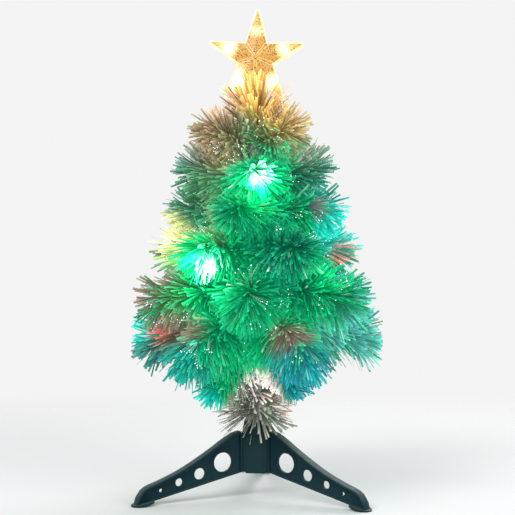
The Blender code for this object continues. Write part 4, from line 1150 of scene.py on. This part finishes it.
def makeStarFace(side):
    # a ten-cornered fan, pulled into a star and raised to its middle
    face, numbers = starRing("TRIFAN")
    corners = starOutline(starForm["faceInset"])
    for vertex, number in zip(face.data.vertices, numbers):
        if vertex.co.length < 0.5:
            vertex.co = starPlace(0, 0, side * (starForm["rimDepth"] + starForm["rise"]))
        else:
            vertex.co = starPlace(*corners[number], side * starForm["rimDepth"])
    # the tips are rounded
    bpy.ops.object.mode_set(mode="EDIT")
    bpy.ops.mesh.select_all(action="DESELECT")
    bpy.ops.object.mode_set(mode="OBJECT")
    for vertex in face.data.vertices:
        away = vertex.co - starPlace(0, 0)
        vertex.select = math.hypot(away.x, away.z) > starForm["tip"] * 0.9
    bpy.ops.object.mode_set(mode="EDIT")
    bpy.ops.mesh.select_mode(type="VERT")
    cut = starForm["tipRound"] / math.tan(math.pi / 10)
    bpy.ops.mesh.bevel(offset=cut, affect="VERTICES", segments=4, profile=0.5)
    bpy.ops.object.mode_set(mode="OBJECT")
    return face


def makePebbles(face, side):
    # pebbled inner relief, shaped into the face itself
    finer = face.modifiers.new("finer", "SUBSURF")
    finer.subdivision_type = "SIMPLE"
    finer.levels = finer.render_levels = 5
    pattern = bpy.data.textures.new("pebbles", "VORONOI")
    pattern.noise_scale = starForm["pebbleSize"]
    relief = face.modifiers.new("relief", "DISPLACE")
    relief.texture = pattern
    relief.texture_coords = "LOCAL"
    relief.direction = "Y"
    relief.strength = -side * starForm["pebbleHeight"]
    relief.mid_level = 0.5
    applyModifiers(face)


def makeStarBead(side):
    # the thick rounded rim that runs round the outline
    spread = math.pi / 2 - math.pi / 10
    radius = starForm["beadRound"]
    depth = side * (starForm["rimDepth"] - starForm["bead"] * 0.25)
    spots = []
    for number in range(5):
        angle = number * fifth
        for step in range(-3, 4):
            bulge = starPlace(angle + step / 3 * spread, radius - starForm["bead"])
            middle = starPlace(angle, starForm["tip"] - radius, depth)
            spots.append(middle + (bulge - starPlace(0, 0)))
        notch = starForm["notch"] - starForm["bead"] * 1.15
        spots.append(starPlace(angle + fifth / 2, notch, depth))
    return makeRods("bead", starForm["bead"], 3, [spots], closed=True)


def makeStarWall(side):
    # the side wall between the rim and the other half
    wall, numbers = starRing("NOTHING")
    corners = starOutline(starForm["wall"] * 1.3)
    for vertex, number in zip(wall.data.vertices, numbers):
        angle, reach = corners[number]
        reach = min(reach, starForm["tip"] - starForm["wall"] * 1.6)
        vertex.co = starPlace(angle, reach, side * starForm["halfGap"])
    editAll(wall)
    bpy.ops.mesh.extrude_region_move(TRANSFORM_OT_translate={
        "value": (0, side * (starForm["rimDepth"] - starForm["wallShort"]), 0)})
    bpy.ops.object.mode_set(mode="OBJECT")
    thicken(wall, starForm["wall"])
    return wall


def makeNotchRidges(side):
    # two bright ridges run beside each line from the middle to a notch
    spans = ((starForm["ridgeStart"], 0.25), (starForm["notch"] - starForm["ridgeShort"], 0.5))
    ridges = []
    for number in range(5):
        angle = (number + 0.5) * fifth
        aside = starPlace(angle + math.pi / 2, 1) - starPlace(0, 0)
        for edge in (-1, 1):
            ends = []
            for reach, spread in spans:
                fall = starForm["rise"] * reach / starForm["notch"]
                depth = starForm["rimDepth"] + starForm["rise"] - fall
                spot = starPlace(angle, reach, side * (depth + starForm["ridgeLift"]))
                ends.append(spot + aside * edge * spread * starForm["ridgeSpacing"])
            run = ends[1] - ends[0]
            ridge = added(bpy.ops.mesh.primitive_cylinder_add, vertices=8,
                          radius=starForm["ridge"], depth=run.length)
            turn = run.to_track_quat("Z", "Y").to_matrix().to_4x4()
            ridge.data.transform(Matrix.Translation((ends[0] + ends[1]) / 2) @ turn)
            roundEdges(ridge, starForm["ridge"] * 0.6)
            ridges.append(ridge)
    return joinAll(ridges, "ridges")


def makeStarHalf(name, side):
    face = makeStarFace(side)
    makePebbles(face, side)
    thicken(face, starForm["wall"])
    ridges = makeNotchRidges(side)
    trims = joinAll([makeStarBead(side), makeStarWall(side)], "trims")
    dress(face, starPlastic)
    dress(trims, starRim)
    dress(ridges, starRidge)
    half = joinAll([face, trims, ridges], "shaped_" + name)
    editAll(half)
    bpy.ops.mesh.normals_make_consistent(inside=False)
    bpy.ops.object.mode_set(mode="OBJECT")
    smoothByAngle(half, 50)
    declare(half, "star", "clear_plastic", name)


makeStarHalf("star_front", -1)
makeStarHalf("star_back", 1)
print("star shaped")

nodeFinishes = {
    "hub_bottom_cap": standPlastic, "power_inlet": whitePlastic, "light_engine": circuitBoard,
    "trunk_pole": trunkTube, "trunk_wrap": trunkFilm, "fibre_bundle": fibreRod,
    "trunk_top_plug": whitePlastic, "star_socket": whitePlastic, "star_board": circuitBoard,
}
for node, obj in frame["nodes"].items():
    if node.startswith("star_lamp"):
        dress(obj, starLamp)
    elif node.startswith("lamp_"):
        dress(obj, branchLamp)
    elif node in nodeFinishes:
        dress(obj, nodeFinishes[node])
print("inner pieces finished")

stageForm = {"floor": (0.80, 0.80, 0.79), "radius": 4.0, "fadeFrom": 0.30, "fadeTo": 1.35,
             "sky": (0.92, 0.95, 1.0), "skyPower": 0.50, "surround": 0.90}


def makeStage():
    floor = added(bpy.ops.mesh.primitive_circle_add, vertices=96, radius=stageForm["radius"],
                  fill_type="NGON")
    floor.name = "floor"
    look = newMaterial("paleFloor", stageForm["floor"], 0.85)
    low = tuple(part * 0.985 for part in stageForm["floor"])
    # far from the tree the floor melts into the surround
    fade = look.add("MapRange", {
        "Value": look.distance(look.place(), (0, 0, 0)), "From Min": stageForm["fadeFrom"],
        "From Max": stageForm["fadeTo"], "To Min": 1, "To Max": 0,
    }, interpolation_type="SMOOTHSTEP")
    dress(floor, look.shade({
        "Base Color": look.ramp(look.noise(3, 3), [(0.3, low), (0.7, stageForm["floor"])]),
        "Alpha": fade.outputs["Result"],
    }))


def makeSurround():
    world = bpy.data.worlds.new("surround")
    bpy.context.scene.world = world
    look = NodeMaker(world)
    sky = look.tree.nodes["Background"]
    look.feed(sky, {"Color": stageForm["sky"], "Strength": stageForm["skyPower"]})
    seen = look.add("Background", {"Color": (1, 1, 1), "Strength": stageForm["surround"]})
    path = look.add("LightPath").outputs
    shown = path["Is Camera Ray"]
    for ray in ("Is Glossy Ray", "Is Transmission Ray"):
        shown = look.calc("MAXIMUM", shown, path[ray])
    mixer = look.add("MixShader", {0: shown, 1: sky.outputs[0], 2: seen.outputs[0]})
    look.feed(look.tree.nodes["World Output"], {"Surface": mixer.outputs[0]})


# place and power
softLights = {
    "keyLight": ((-0.9, -1.3, 1.5), 24),
    "fillLight": ((1.3, -1.0, 0.9), 11),
    "backLight": ((0.7, 1.4, 1.4), 18),
}
lightSize = 1.0


def makeLights():
    for name, (place, power) in softLights.items():
        lamp = added(bpy.ops.object.light_add, type="AREA", location=place)
        lamp.name = name
        lamp.data.size = lightSize
        lamp.data.energy = power
        lookAt(lamp, Vector((0, 0, 0.3)), Vector(place))


viewForm = {"distance": 1.300, "height": 0.276, "azimuth": 5, "lens": 68.9, "aimHeight": 0.311,
            "aimSide": 0.002}


def makeCamera():
    turn = math.radians(viewForm["azimuth"])
    place = Vector((viewForm["distance"] * math.sin(turn),
                    -viewForm["distance"] * math.cos(turn), viewForm["height"]))
    aim = Vector((math.cos(turn), math.sin(turn), 0)) * viewForm["aimSide"]
    aim.z = viewForm["aimHeight"]
    camera = added(bpy.ops.object.camera_add, location=place)
    lookAt(camera, aim, place)
    camera.data.lens = viewForm["lens"]
    camera.data.sensor_width = 36
    camera.data.clip_start = 0.01
    bpy.context.scene.camera = camera


makeStage()
makeSurround()
makeLights()
makeCamera()
bpy.context.scene.view_settings.view_transform = "Standard"
print("stage, lights and camera set")
